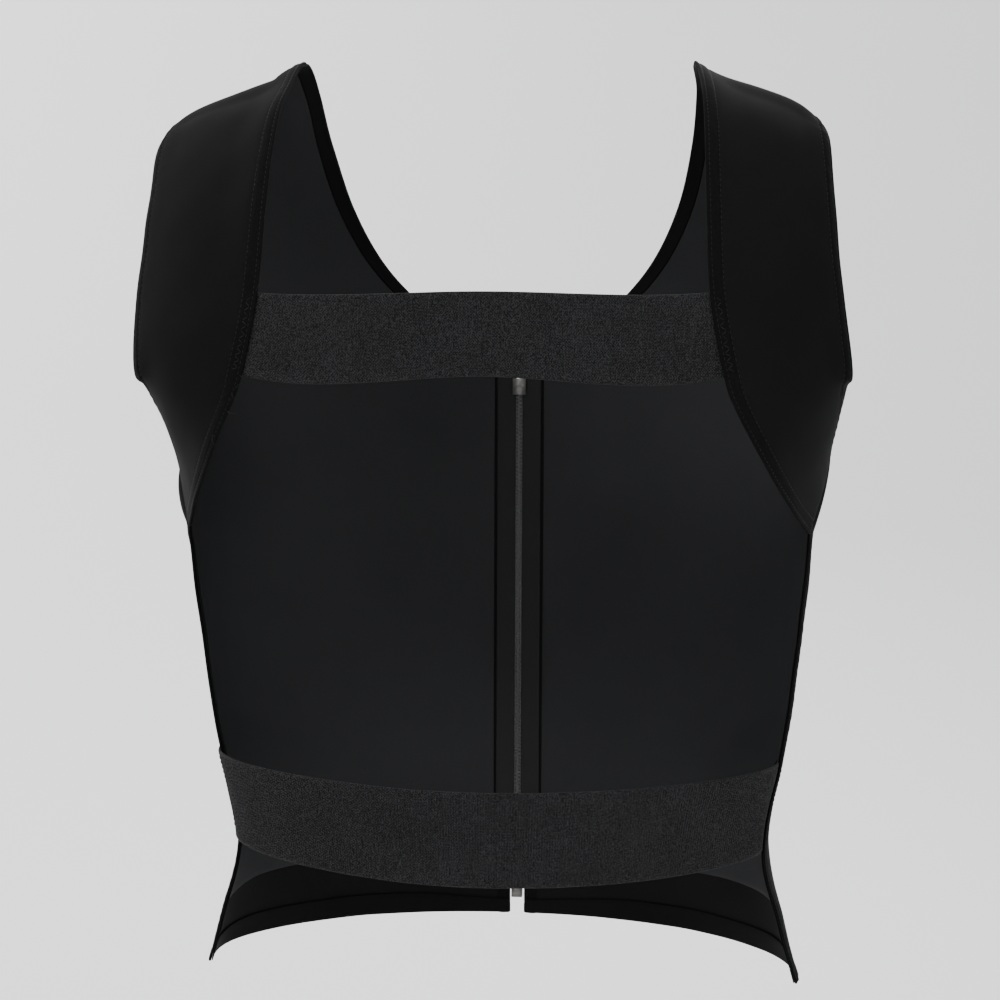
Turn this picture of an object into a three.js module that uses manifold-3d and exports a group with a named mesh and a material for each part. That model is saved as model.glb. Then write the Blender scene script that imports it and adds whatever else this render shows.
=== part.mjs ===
// Sleeveless black work vest with an open back crossed by two elastic bands and a zip in front.
// Millimetres. +Z is up, the wearer's back faces -Y and +X is the wearer's right.
// The origin lies midway between the neck-side tops of the two shoulders.
// Each side has a back panel and a front panel. A panel is a net of rows and columns, and every
// fabric piece is a stretch of that net at its own depth below the outer face, so layers follow
// each other with one small gap between them.

import * as THREE from 'three';
import { mergeVertices } from 'three/addons/utils/BufferGeometryUtils.js';
import Module from 'manifold-3d';

const wasm = await Module();
wasm.setup();

// Heights, measured down from the top of the shoulder
const vestLength = 610;
const shoulderDrop = 41;
const armholeDrop = 246;
const armholeCornerDrop = 198;
const neckDrop = 205;
const sideCornerDrop = 305;
const upperBandDrop = 150;
const upperBandWidth = 50;
const lowerBandDrop = 459;
const lowerBandWidth = 60;
const liningShort = 39;
const bottomHemHeight = 10;

// Half widths, measured from the centre line
const neckHalf = 128;
const shoulderHalf = 218;
const armholeHalf = 231;
const underarmHalf = 219;
const upperBandHalf = 140;
const sideHalf = 205;
const waistHalf = 180;
const hemHalf = 201;
const zipGapHalf = 6;

// Depths, measured from the shoulder line
const backDepth = 115;
const chestDepth = 129;
const frontHemDepth = 113;
const armholeDepth = 62;
const waistBackDepth = 100;

// Cloth layers
const shellWall = 1.2;
const liningWall = 0.8;
const bandWall = 1.6;
const patchWall = 1;
const layerGap = 0.3;
const hemWidth = 10;
const seamGap = 0.3;
const sideSeamGap = 0.9;
const lowerBandSag = 6;

// Zip
const toothInner = 0.75;
const toothOuter = 2.3;
const toothWall = 2.4;
const zipTopFree = 6;
const zipEndFree = 12;
const stopLength = 3.6;
const sliderHalf = 4.8;
const sliderLength = 12;
const plateWall = 1.4;
const lipInner = 3.5;
const runGap = 0.35;
const bridgeHalf = 1;
const bridgeRise = 1.85;
const bridgeWall = 1;
const bridgeTop = 2.2;
const bridgeBottom = 9.8;
const bridgePost = 1.2;
const pullPinRadius = 0.6;
const pullWall = 1.2;
const pullArmInner = 1.6;
const pullHalf = 3.2;
const pullEye = 9;
const pullLength = 30;
const boxHalf = 4;
const boxLength = 8;
const boxEndFree = 2;
const pinInBox = 5;
const boxWallFront = 1.2;
const boxWallBack = 0.9;
const webTop = -0.5;
const webBottom = -4;
const pullCorner = 1.4;
const pullArmInset = 0.4;
const join = 0.2;

const point = (x, y, z) => new THREE.Vector3(x, y, z);

// Depth of the front panels where they meet the zip, a straight line from chest to hem
const zipDepthAt = (z) => {
  const share = (-z - neckDrop) / (vestLength - neckDrop);
  return chestDepth + (frontHemDepth - chestDepth) * share;
};
const zipEdge = (z) => point(zipGapHalf, zipDepthAt(z), z);

// Edge points of the back panel, from the shoulder seam down to the side seam
const backInner = [
  point(neckHalf, 0, 0),
  point(neckHalf + 4, -0.3 * backDepth, -12),
  point(neckHalf + 7, -0.58 * backDepth, -40),
  point(neckHalf + 9, -0.8 * backDepth, -90),
  point(upperBandHalf, -0.93 * backDepth, -upperBandDrop),
  point(upperBandHalf + 9, -0.98 * backDepth, -upperBandDrop - upperBandWidth),
  point(upperBandHalf + 16, -0.97 * backDepth, -upperBandDrop - upperBandWidth - 20),
  point(sideHalf - 32, -0.87 * backDepth, -sideCornerDrop + 53),
  point(sideHalf - 14, -0.61 * backDepth, -sideCornerDrop + 22),
  point(sideHalf, -0.28 * backDepth, -sideCornerDrop),
];
const backOuter = [
  point(shoulderHalf, 0, -shoulderDrop),
  point(shoulderHalf + 4, -0.36 * armholeDepth, -shoulderDrop - 12),
  point(shoulderHalf + 5, -0.62 * armholeDepth, -shoulderDrop - 36),
  point(armholeHalf - 6, -0.84 * armholeDepth, -shoulderDrop - 70),
  point(armholeHalf - 3, -0.95 * armholeDepth, -armholeCornerDrop + 50),
  point(armholeHalf, -armholeDepth, -armholeCornerDrop),
  point(armholeHalf - 3, -0.84 * armholeDepth, -armholeCornerDrop - 11),
  point(underarmHalf + 6, -0.6 * armholeDepth, -armholeDrop + 24),
  point(underarmHalf + 2, -0.34 * armholeDepth, -armholeDrop + 10),
  point(underarmHalf, -0.1 * armholeDepth, -armholeDrop),
];

// Edge points of the front panel, from the shoulder seam down to the bottom hem
const liningEnd = -vestLength + liningShort;
const hemLine = -vestLength + bottomHemHeight;
const bandBottom = -lowerBandDrop - lowerBandWidth;
const frontNeck = [
  point(neckHalf, 0, 0),
  point(neckHalf + 1, 0.28 * chestDepth, -14),
  point(neckHalf - 2, 0.52 * chestDepth, -48),
  point(neckHalf - 12, 0.71 * chestDepth, -90),
  point(neckHalf - 32, 0.85 * chestDepth, -130),
  point(neckHalf - 63, 0.945 * chestDepth, -neckDrop + 41),
  point(neckHalf - 97, 0.985 * chestDepth, -neckDrop + 17),
  point(zipGapHalf, chestDepth, -neckDrop),
];
const frontCentre = [-neckDrop, -240, -285, -340, -400, -lowerBandDrop, bandBottom, liningEnd,
  hemLine, -vestLength].map(zipEdge);
const frontArmhole = [
  point(shoulderHalf, 0, -shoulderDrop),
  point(shoulderHalf + 1, 0.36 * armholeDepth, -shoulderDrop - 12),
  point(shoulderHalf - 2, 0.68 * armholeDepth, -shoulderDrop - 38),
  point(shoulderHalf - 8, 0.9 * armholeDepth, -shoulderDrop - 71),
  point(shoulderHalf - 10, armholeDepth, -armholeDrop + 96),
  point(underarmHalf - 8, 0.92 * armholeDepth, -armholeDrop + 58),
  point(underarmHalf - 4, 0.55 * armholeDepth, -armholeDrop + 24),
  point(underarmHalf, -0.1 * armholeDepth, -armholeDrop),
];
const frontSide = [
  point(sideHalf, -0.28 * backDepth, -sideCornerDrop),
  point(sideHalf - 2, -0.25 * backDepth, -350),
  point(sideHalf - 8, -0.22 * backDepth, -405),
  point(waistHalf + 9, -0.19 * backDepth, -lowerBandDrop),
  point(waistHalf, -0.165 * backDepth, bandBottom),
  point(0.5 * (waistHalf + hemHalf), -0.155 * backDepth, liningEnd),
  point(hemHalf - 3, -0.14 * backDepth, hemLine),
  point(hemHalf, -0.14 * backDepth, -vestLength),
];

// Row directions at the inner and outer edges, and how full each end is as a share of its chord
const backLeave = [[0.78, 0, -0.62], [0.85, -0.15, -0.5], [0.95, -0.1, -0.3], [1, -0.05, -0.1],
  [1, 0, 0], [1, 0.05, 0], [0.98, 0.15, 0.1], [0.88, 0.4, 0.3], [0.5, 0.7, 0.5],
  [0.28, 0.4, 0.87]];
const backArrive = [[0.55, 0, -0.83], [0.5, 0.25, -0.83], [0.45, 0.55, -0.7], [0.45, 0.85, -0.3],
  [0.45, 0.9, 0], [0.5, 0.87, 0], [0.4, 0.9, 0.1], [0.2, 0.9, 0.3], [0.08, 0.8, 0.6],
  [0.08, 0.4, 0.91]];
const backFullness = Array(10).fill([1, 0.9]);
const frontLeave = [[0.78, 0, -0.62], [0.87, 0.1, -0.48], [0.95, 0.08, -0.28], [0.98, -0.1, -0.1],
  [0.99, -0.08, 0], [1, -0.05, 0], [1, -0.02, 0], ...Array(10).fill([1, 0, 0])];
const frontArrive = [[0.55, 0, -0.83], [0.5, -0.25, -0.83], [0.45, -0.55, -0.7],
  [0.4, -0.85, -0.3], [0.3, -0.95, 0], [0.15, -0.98, 0], [0, -1, 0], [-0.08, -1, 0],
  ...Array(9).fill([-0.25, -0.97, 0])];
const frontFullness = [[1, 0.9], [1, 0.9], [1, 0.9], [1, 0.9], [1.05, 0.9], [1.1, 0.95],
  [1.2, 0.95], ...Array(10).fill([1.3, 1])];

// Stations along the edges at which pieces start and end
const BAND_TOP = 4;
const BAND_END = 5;
const SIDE_SEAM = 9;
const CENTRE_TOP = 7;
const UNDERARM = 7;
const SIDE_CORNER = 9;
const LOWER_BAND_TOP = 12;
const LOWER_BAND_END = 13;
const LINING_END = 14;
const HEM_LINE = 15;
const HEM = 16;

// A cubic from a to b that leaves along ta and arrives along tb
function cubic(a, ta, b, tb, t) {
  const t2 = t * t;
  const t3 = t2 * t;
  return point(0, 0, 0)
    .addScaledVector(a, 2 * t3 - 3 * t2 + 1)
    .addScaledVector(ta, t3 - 2 * t2 + t)
    .addScaledVector(b, 3 * t2 - 2 * t3)
    .addScaledVector(tb, t3 - t2);
}

// A smooth edge through its points. lead is the point before the first, across the shoulder seam.
function edgeThrough(points, lead) {
  const all = lead ? [lead, ...points] : points;
  const skipped = lead ? 1 : 0;
  const curve = new THREE.CatmullRomCurve3(all, false, 'catmullrom', 0.5);
  return (station) => curve.getPoint((station + skipped) / (all.length - 1));
}

// Directions between stations are blended straight
function blendAt(list, station) {
  const i = Math.min(Math.floor(station), list.length - 2);
  const f = station - i;
  return list[i].map((value, k) => value * (1 - f) + list[i + 1][k] * f);
}

// The net of one panel: nodes and outward normals, row by row
function makeNet({ inner, outer, leave, arrive, fullness, stations, columns, facing }) {
  const samples = 60;
  const nodes = stations.map((station) => {
    const a = inner(station);
    const b = outer(station);
    const chord = a.distanceTo(b);
    const [fullA, fullB] = blendAt(fullness, station);
    const ta = point(...blendAt(leave, station)).normalize().multiplyScalar(chord * fullA);
    const tb = point(...blendAt(arrive, station)).normalize().multiplyScalar(chord * fullB);
    const row = Array.from({ length: samples + 1 }, (_, k) => cubic(a, ta, b, tb, k / samples));
    return spaceColumns(row, columns);
  });
  const normals = nodes.map((row, r) => row.map((node, c) => {
    const across = point(0, 0, 0).subVectors(row[Math.min(c + 1, columns)], row[Math.max(c - 1, 0)]);
    const below = nodes[Math.min(r + 1, nodes.length - 1)][c];
    const above = nodes[Math.max(r - 1, 0)][c];
    const down = r === 0 ? point(0, facing, 0) : point(0, 0, 0).subVectors(below, above);
    return across.cross(down).multiplyScalar(facing).normalize();
  }));
  return { nodes, normals, stations, columns };
}

// Columns: one hem width at each edge, and an even spacing between them
function spaceColumns(row, columns) {
  const lengths = [0];
  for (let k = 1; k < row.length; k += 1) {
    lengths.push(lengths[k - 1] + row[k].distanceTo(row[k - 1]));
  }
  const total = lengths[lengths.length - 1];
  const step = (total - 2 * hemWidth) / (columns - 2);
  const atLength = (wanted) => {
    let k = 1;
    while (k < row.length - 1 && lengths[k] < wanted) k += 1;
    const f = (wanted - lengths[k - 1]) / (lengths[k] - lengths[k - 1]);
    return row[k - 1].clone().lerp(row[k], f);
  };
  return Array.from({ length: columns + 1 }, (_, c) => {
    if (c === 0) return row[0].clone();
    if (c === columns) return row[row.length - 1].clone();
    return atLength(hemWidth + (c - 1) * step);
  });
}

// Point and normal at any place of the net. Past an edge the last cell runs on straight.
function netAt(net, r, c) {
  const r0 = Math.max(0, Math.min(Math.floor(r), net.nodes.length - 2));
  const c0 = Math.max(0, Math.min(Math.floor(c), net.columns - 1));
  const mix = (table) => {
    const left = table[r0][c0].clone().lerp(table[r0 + 1][c0], r - r0);
    const right = table[r0][c0 + 1].clone().lerp(table[r0 + 1][c0 + 1], r - r0);
    return left.lerp(right, c - c0);
  };
  return { place: mix(net.nodes), normal: mix(net.normals).normalize() };
}

// Row number of a station, which may lie between two rows
function rowOf(net, station) {
  const i = net.stations.findIndex((value) => value > station - 1e-9);
  if (Math.abs(net.stations[i] - station) < 1e-9) return i;
  return i - 1 + (station - net.stations[i - 1]) / (net.stations[i] - net.stations[i - 1]);
}

// Whole steps from low to high, with both ends
function stepsBetween(low, high) {
  const steps = [low];
  for (let k = Math.floor(low + 1e-6) + 1; k < high - 1e-6; k += 1) steps.push(k);
  return [...steps, high];
}

// A closed body between two matching grids of points
function closedSheet(outer, inner) {
  const rows = outer.length;
  const cols = outer[0].length;
  const half = rows * cols;
  const positions = [...outer.flat(), ...inner.flat()].flatMap((p) => [p.x, p.y, p.z]);
  const index = [];
  const id = (r, c) => r * cols + c;
  const quad = (a, b, c, d) => index.push(a, b, c, a, c, d);
  for (let r = 0; r + 1 < rows; r += 1) {
    for (let c = 0; c + 1 < cols; c += 1) {
      quad(id(r, c), id(r + 1, c), id(r + 1, c + 1), id(r, c + 1));
      index.push(half + id(r, c), half + id(r + 1, c + 1), half + id(r + 1, c));
      index.push(half + id(r, c), half + id(r, c + 1), half + id(r + 1, c + 1));
    }
  }
  const rim = [];
  for (let c = 0; c + 1 < cols; c += 1) rim.push([id(0, c), id(0, c + 1)]);
  for (let r = 0; r + 1 < rows; r += 1) rim.push([id(r, cols - 1), id(r + 1, cols - 1)]);
  for (let c = cols - 1; c > 0; c -= 1) rim.push([id(rows - 1, c), id(rows - 1, c - 1)]);
  for (let r = rows - 1; r > 0; r -= 1) rim.push([id(r, 0), id(r - 1, 0)]);
  rim.forEach(([a, b]) => quad(a, b, half + b, half + a));
  return outwardGeometry(positions, index);
}

// Turns the faces round where their winding encloses a negative volume
function outwardGeometry(positions, index) {
  const corner = (k) => point(...positions.slice(3 * k, 3 * k + 3));
  let volume = 0;
  for (let k = 0; k < index.length; k += 3) {
    volume += corner(index[k]).dot(corner(index[k + 1]).cross(corner(index[k + 2])));
  }
  if (volume < 0) index.reverse();
  const geometry = new THREE.BufferGeometry();
  geometry.setAttribute('position', new THREE.Float32BufferAttribute(positions, 3));
  geometry.setIndex(index);
  return geometry;
}

const flip = (p) => point(-p.x, p.y, p.z);

// A fabric piece: part of a net between two stations and two columns, at one depth.
// inset narrows it in the net's own surface at [top, bottom, inner, outer].
function netPiece(net, [top, bottom], [first, last], [near, far], inset, mirrored) {
  const rows = stepsBetween(rowOf(net, top), rowOf(net, bottom));
  const cols = stepsBetween(first, last);
  const length = (a, b) => Math.max(a.place.distanceTo(b.place), 1e-6);
  const atDepth = (depth) => rows.map((r, i) => cols.map((c, j) => {
    const rowCell = length(netAt(net, Math.floor(r), c), netAt(net, Math.floor(r) + 1, c));
    const lastRow = length(netAt(net, Math.ceil(r) - 1, c), netAt(net, Math.ceil(r), c));
    const colCell = length(netAt(net, r, Math.floor(c)), netAt(net, r, Math.floor(c) + 1));
    const lastCol = length(netAt(net, r, Math.ceil(c) - 1), netAt(net, r, Math.ceil(c)));
    let rowShift = 0;
    if (i === 0) rowShift = inset[0] / rowCell;
    if (i === rows.length - 1) rowShift = -inset[1] / lastRow;
    let colShift = 0;
    if (j === 0) colShift = inset[2] / colCell;
    if (j === cols.length - 1) colShift = -inset[3] / lastCol;
    const { place, normal } = netAt(net, r + rowShift, c + colShift);
    const moved = place.addScaledVector(normal, -depth);
    return mirrored ? flip(moved) : moved;
  }));
  return closedSheet(atDepth(near), atDepth(far));
}

const backNet = makeNet({
  inner: edgeThrough(backInner, frontNeck[1]),
  outer: edgeThrough(backOuter, frontArmhole[1]),
  leave: backLeave,
  arrive: backArrive,
  fullness: backFullness,
  stations: Array.from({ length: 19 }, (_, k) => k / 2),
  columns: 7,
  facing: -1,
});

// The front panel's outer edge: armhole, then the side seam shared with the back panel, then side
function sideSeamAt(share) {
  const last = backInner.length - 1;
  const chord = backInner[last].distanceTo(backOuter[last]);
  const [fullA, fullB] = backFullness[last];
  const ta = point(...backLeave[last]).normalize().multiplyScalar(chord * fullA);
  const tb = point(...backArrive[last]).normalize().multiplyScalar(chord * fullB);
  return cubic(backInner[last], ta, backOuter[last], tb, share);
}
const neckLine = edgeThrough(frontNeck, backInner[1]);
const centreLine = edgeThrough(frontCentre);
const armholeLine = edgeThrough(frontArmhole, backOuter[1]);
const sideLine = edgeThrough(frontSide);
function frontInnerEdge(station) {
  return station <= CENTRE_TOP ? neckLine(station) : centreLine(station - CENTRE_TOP);
}
function frontOuterEdge(station) {
  if (station <= UNDERARM) return armholeLine(station);
  if (station >= SIDE_CORNER) return sideLine(station - SIDE_CORNER);
  return sideSeamAt((SIDE_CORNER - station) / (SIDE_CORNER - UNDERARM));
}
const frontNet = makeNet({
  inner: frontInnerEdge,
  outer: frontOuterEdge,
  leave: frontLeave,
  arrive: frontArrive,
  fullness: frontFullness,
  stations: [...Array.from({ length: 19 }, (_, k) => k / 2), 10, 11, LOWER_BAND_TOP, LOWER_BAND_END,
    LINING_END, HEM_LINE, HEM],
  columns: 9,
  facing: 1,
});

// Depths of the layers below the outer face
const shellLayer = [0, shellWall];
const liningLayer = [shellWall + layerGap, shellWall + layerGap + liningWall];
const bandLayer = [shellWall + layerGap, shellWall + layerGap + bandWall];
const patchLayer = [bandLayer[1] + layerGap, bandLayer[1] + layerGap + patchWall];
const bandOverLayer = [-layerGap - bandWall, -layerGap];

const colours = { shell: 0x17171a, lining: 0x33353a, facing: 0x1a1a1d, band: 0x202024,
  tape: 0x151517, teeth: 0x2a2a2c, metal: 0x55565a };
const finish = (name, roughness, metalness) => () => new THREE.MeshStandardMaterial({
  color: colours[name], roughness, metalness });
const cloth = { shell: finish('shell', 0.75, 0), lining: finish('lining', 0.8, 0),
  facing: finish('facing', 0.8, 0), band: finish('band', 0.9, 0), tape: finish('tape', 0.85, 0),
  teeth: finish('teeth', 0.5, 0), metal: finish('metal', 0.35, 0.9) };

function named(name, geometry, material) {
  const mesh = new THREE.Mesh(geometry, material());
  mesh.name = name;
  return mesh;
}

const half = seamGap / 2;
const backEnd = backNet.columns;
const frontEnd = frontNet.columns;

// Shell, lining and facings of one back panel
function backPanel(side, mirrored) {
  const piece = (name, span, columns, layer, inset, material) =>
    named(`${name}_${side}`, netPiece(backNet, span, columns, layer, inset, mirrored), material);
  return [
    piece('back_shell', [0, SIDE_SEAM], [0, backEnd], shellLayer,
      [half, sideSeamGap / 2, 0, 0], cloth.shell),
    piece('back_lining', [0, SIDE_SEAM], [1, backEnd - 1], liningLayer,
      [half, sideSeamGap, half, half], cloth.lining),
    piece('back_neck_facing', [0, BAND_TOP], [0, 1], liningLayer,
      [half, half, 0, half], cloth.facing),
    piece('back_lower_facing', [BAND_END, SIDE_SEAM], [0, 1], liningLayer,
      [half, sideSeamGap, 0, half], cloth.facing),
    piece('back_armhole_facing', [0, SIDE_SEAM], [backEnd - 1, backEnd], liningLayer,
      [half, sideSeamGap, half, 0], cloth.facing),
    piece('upper_band_patch', [BAND_TOP, BAND_END], [0, 1], patchLayer,
      [half, half, half, half], cloth.facing),
  ];
}

// Shell, lining, facings and zip tape of one front panel
function frontPanel(side, mirrored) {
  const piece = (name, span, columns, layer, inset, material) =>
    named(`${name}_${side}`, netPiece(frontNet, span, columns, layer, inset, mirrored), material);
  const tapeReach = (toothOuter + seamGap - zipGapHalf) / hemWidth;
  return [
    piece('front_shell', [0, HEM], [0, frontEnd], shellLayer,
      [half, 0, 0, sideSeamGap / 2], cloth.shell),
    piece('front_lining', [0, LINING_END], [1, frontEnd - 1], liningLayer,
      [half, 0, half, half], cloth.lining),
    piece('front_neck_facing', [0, CENTRE_TOP], [0, 1], liningLayer,
      [half, half, 0, half], cloth.facing),
    piece('front_armhole_facing', [0, SIDE_CORNER], [frontEnd - 1, frontEnd], liningLayer,
      [half, half, half, sideSeamGap], cloth.facing),
    piece('side_facing_upper', [SIDE_CORNER, LOWER_BAND_TOP], [frontEnd - 1, frontEnd],
      liningLayer, [half, half, half, 0], cloth.facing),
    piece('side_facing_lower', [LOWER_BAND_END, HEM_LINE], [frontEnd - 1, frontEnd],
      liningLayer, [half, half, half, 0], cloth.facing),
    piece('bottom_hem', [HEM_LINE, HEM], [0, frontEnd], liningLayer,
      [half, 0, 0, 0], cloth.facing),
    piece('zip_tape', [CENTRE_TOP, tapeEndStation], [tapeReach, 1], liningLayer,
      [half, 0, 0, half], cloth.tape),
    piece('lower_band_patch', [LOWER_BAND_TOP, LOWER_BAND_END], [frontEnd - 1, frontEnd],
      mirrored ? liningLayer : patchLayer, [half, half, half, half], cloth.facing),
  ];
}

// A band sewn at both ends. ends are the tucked stretches of the right and left sides of one net,
// and the free stretch between them runs through the middle of the back.
function bandAcross({ net, rows, tucked, edge, middle, leave, fullness, rightLayer, leftLayer }) {
  const freeSteps = 8;
  const lines = rows.map((row, k) => {
    const hidden = netAt(net, row, tucked).place;
    const start = netAt(net, row, edge).place;
    const centre = middle(k / (rows.length - 1));
    const chord = start.distanceTo(centre);
    const heading = leave(point(0, 0, 0).subVectors(start, hidden).normalize());
    const ta = heading.clone().multiplyScalar(chord * fullness[0]);
    const tb = point(-chord * fullness[1], 0, 0);
    const free = Array.from({ length: freeSteps + 1 }, (_, s) =>
      cubic(start, ta, centre, tb, s / freeSteps));
    const right = [hidden, ...free];
    return [...right, ...right.slice(0, -1).reverse().map(flip)];
  });
  const count = lines[0].length;
  const normalAt = (k, s) => {
    if (s < 2) return netAt(net, rows[k], s === 0 ? tucked : edge).normal;
    if (s > count - 3) return flip(normalAt(k, count - 1 - s));
    const along = point(0, 0, 0).subVectors(lines[k][s + 1], lines[k][s - 1]);
    const down = point(0, 0, 0).subVectors(lines[lines.length - 1][s], lines[0][s]);
    return along.cross(down).normalize();
  };
  const atFace = (face) => lines.map((line, k) => line.map((place, s) => {
    const share = THREE.MathUtils.smoothstep(s, 1, count - 2);
    const depth = rightLayer[face] * (1 - share) + leftLayer[face] * share;
    return place.clone().addScaledVector(normalAt(k, s), -depth);
  }));
  return closedSheet(atFace(0), atFace(1));
}

// Rows of a band between two stations, narrowed by the seam gap
function bandRows(net, top, bottom) {
  const rows = stepsBetween(rowOf(net, top), rowOf(net, bottom));
  const size = (r) => netAt(net, r, 0).place.distanceTo(netAt(net, r + 1, 0).place);
  rows[0] += half / size(rows[0]);
  rows[rows.length - 1] -= half / size(rows[rows.length - 1] - 1);
  return rows;
}

function upperBand() {
  return bandAcross({
    net: backNet,
    rows: bandRows(backNet, BAND_TOP, BAND_END),
    tucked: 1 - half / hemWidth,
    edge: 0,
    middle: (share) => point(0, -backDepth - 3, -upperBandDrop - share * upperBandWidth),
    leave: (heading) => heading,
    fullness: [1, 1],
    rightLayer: bandLayer,
    leftLayer: bandLayer,
  });
}

function lowerBand() {
  return bandAcross({
    net: frontNet,
    rows: bandRows(frontNet, LOWER_BAND_TOP, LOWER_BAND_END),
    tucked: frontEnd - 1 + half / hemWidth,
    edge: frontEnd,
    middle: (share) => point(0, -waistBackDepth,
      -lowerBandDrop - lowerBandSag - share * lowerBandWidth),
    leave: (heading) => heading,
    fullness: [0.65, 1.3],
    rightLayer: bandLayer,
    leftLayer: bandOverLayer,
  });
}

// Zip line: its own frame has x across, y outward and z up along the line from the neck edge
const zipTop = point(0, chestDepth, -neckDrop);
const zipBottom = point(0, zipDepthAt(hemLine), hemLine);
const zipLength = zipTop.distanceTo(zipBottom);
const zipTilt = Math.atan2(zipBottom.y - zipTop.y, zipTop.z - zipBottom.z);
const toothMiddle = -(liningLayer[0] + liningLayer[1]) / 2;
const toothFront = toothMiddle + toothWall / 2;
const toothBack = toothMiddle - toothWall / 2;
const boxTop = -(zipLength - boxEndFree - boxLength);
const tapeEnd = -neckDrop + (boxTop + seamGap) * (zipTop.z - zipBottom.z) / zipLength;
const tapeEndStation = LINING_END + (tapeEnd - liningEnd) / (hemLine - liningEnd);

// A box between two corners of the zip's own frame
function block(low, high) {
  const size = high.map((value, k) => value - low[k]);
  const geometry = new THREE.BoxGeometry(...size);
  return geometry.translate(...high.map((value, k) => (value + low[k]) / 2));
}

// A closed mesh as a solid for joining and cutting
function toSolid(geometry) {
  const bare = geometry.clone();
  bare.deleteAttribute('normal');
  bare.deleteAttribute('uv');
  const merged = mergeVertices(bare);
  return new wasm.Manifold(new wasm.Mesh({
    numProp: 3,
    vertProperties: new Float32Array(merged.attributes.position.array),
    triVerts: new Uint32Array(merged.index.array),
  }));
}

function toGeometry(solid) {
  const mesh = solid.getMesh();
  const geometry = new THREE.BufferGeometry();
  geometry.setAttribute('position', new THREE.BufferAttribute(mesh.vertProperties, 3));
  geometry.setIndex(new THREE.BufferAttribute(mesh.triVerts, 1));
  return geometry;
}

function joined(geometries) {
  return toGeometry(geometries.map(toSolid).reduce((sum, next) => sum.add(next)));
}

const plateFront = toothFront + runGap;
const plateBack = toothBack - runGap;
const tapeFront = -liningLayer[0];
const tapeBack = -liningLayer[1];

// Slider: two plates joined by a web, lips beside the tape, and a bridge that holds the pull tab
function sliderGeometry() {
  const end = -sliderLength;
  const faceFront = plateFront + plateWall;
  const bridgeFront = faceFront + bridgeRise;
  const webHalf = toothInner - runGap;
  return joined([
    block([-sliderHalf, plateFront, end], [sliderHalf, faceFront, 0]),
    block([-sliderHalf, plateBack - plateWall, end], [sliderHalf, plateBack, 0]),
    block([-webHalf, plateBack - join, webBottom], [webHalf, plateFront + join, webTop]),
    block([lipInner, tapeFront + runGap, end], [sliderHalf, plateFront + join, 0]),
    block([-sliderHalf, tapeFront + runGap, end], [-lipInner, plateFront + join, 0]),
    block([lipInner, plateBack - join, end], [sliderHalf, tapeBack - runGap, 0]),
    block([-sliderHalf, plateBack - join, end], [-lipInner, tapeBack - runGap, 0]),
    block([-bridgeHalf, faceFront - join, -bridgeTop - bridgePost],
      [bridgeHalf, bridgeFront + bridgeWall, -bridgeTop]),
    block([-bridgeHalf, faceFront - join, -bridgeBottom],
      [bridgeHalf, bridgeFront + bridgeWall, -bridgeBottom + bridgePost]),
    block([-bridgeHalf, bridgeFront, -bridgeBottom + join],
      [bridgeHalf, bridgeFront + bridgeWall, -bridgeTop - join]),
  ]);
}

// Pull tab: a cross pin under the bridge, two arms beside it and a flat tab, hanging along -Z
function pullGeometry() {
  const armOuter = pullHalf - pullArmInset;
  const wall = pullWall / 2;
  const pin = new THREE.CylinderGeometry(pullPinRadius, pullPinRadius, 2 * armOuter - join, 12);
  pin.rotateZ(Math.PI / 2);
  const outline = new THREE.Shape();
  outline.moveTo(-pullHalf, -pullEye);
  outline.lineTo(-pullHalf, -pullLength + pullCorner);
  outline.lineTo(-pullHalf + pullCorner, -pullLength);
  outline.lineTo(pullHalf - pullCorner, -pullLength);
  outline.lineTo(pullHalf, -pullLength + pullCorner);
  outline.lineTo(pullHalf, -pullEye);
  outline.closePath();
  const tab = new THREE.ExtrudeGeometry(outline, { depth: pullWall, bevelEnabled: false });
  tab.rotateX(Math.PI / 2).translate(0, wall, 0);
  return joined([
    pin,
    block([pullArmInner, -wall, -pullEye - join], [armOuter, wall, pullPinRadius]),
    block([-armOuter, -wall, -pullEye - join], [-pullArmInner, wall, pullPinRadius]),
    tab,
  ]);
}

function retainerBox() {
  const body = block([-boxHalf, plateBack - boxWallBack, boxTop - boxLength],
    [boxHalf, plateFront + boxWallFront, boxTop]);
  const slot = block([-toothOuter - seamGap, toothBack - seamGap, boxTop - pinInBox - seamGap],
    [-toothInner + seamGap, toothFront + seamGap, boxTop + 1]);
  return toGeometry(toSolid(body).subtract(toSolid(slot)));
}

// Teeth, stops, pin and box along the zip line
function zipFixed() {
  const bar = (side, low, high) => side > 0
    ? block([toothInner, toothBack, low], [toothOuter, toothFront, high])
    : block([-toothOuter, toothBack, low], [-toothInner, toothFront, high]);
  const teethEnd = -zipLength + zipEndFree;
  return [
    named('zip_teeth_right', bar(1, boxTop + seamGap, -zipTopFree), cloth.teeth),
    named('zip_teeth_left', bar(-1, teethEnd, -zipTopFree), cloth.teeth),
    named('zip_top_stop_right', bar(1, -zipTopFree + seamGap, -zipTopFree + stopLength),
      cloth.metal),
    named('zip_top_stop_left', bar(-1, -zipTopFree + seamGap, -zipTopFree + stopLength),
      cloth.metal),
    named('zip_insertion_pin', bar(-1, boxTop - pinInBox, teethEnd - seamGap), cloth.metal),
    named('zip_retainer_box', retainerBox(), cloth.metal),
  ];
}

// Slider closed under the top stops, with its pull tab hanging plumb from the bridge
function zipMoving() {
  const slider = named('zip_slider', sliderGeometry(), cloth.metal);
  slider.position.set(0, 0, -zipTopFree - seamGap);
  const pinPlace = point(0, plateFront + plateWall + bridgeRise / 2,
    -bridgeBottom + bridgePost + pullPinRadius + runGap);
  const pull = named('zip_pull_tab', pullGeometry(), cloth.metal);
  pull.position.copy(pinPlace);
  pull.rotation.x = -zipTilt;
  slider.add(pull);
  return slider;
}

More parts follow.
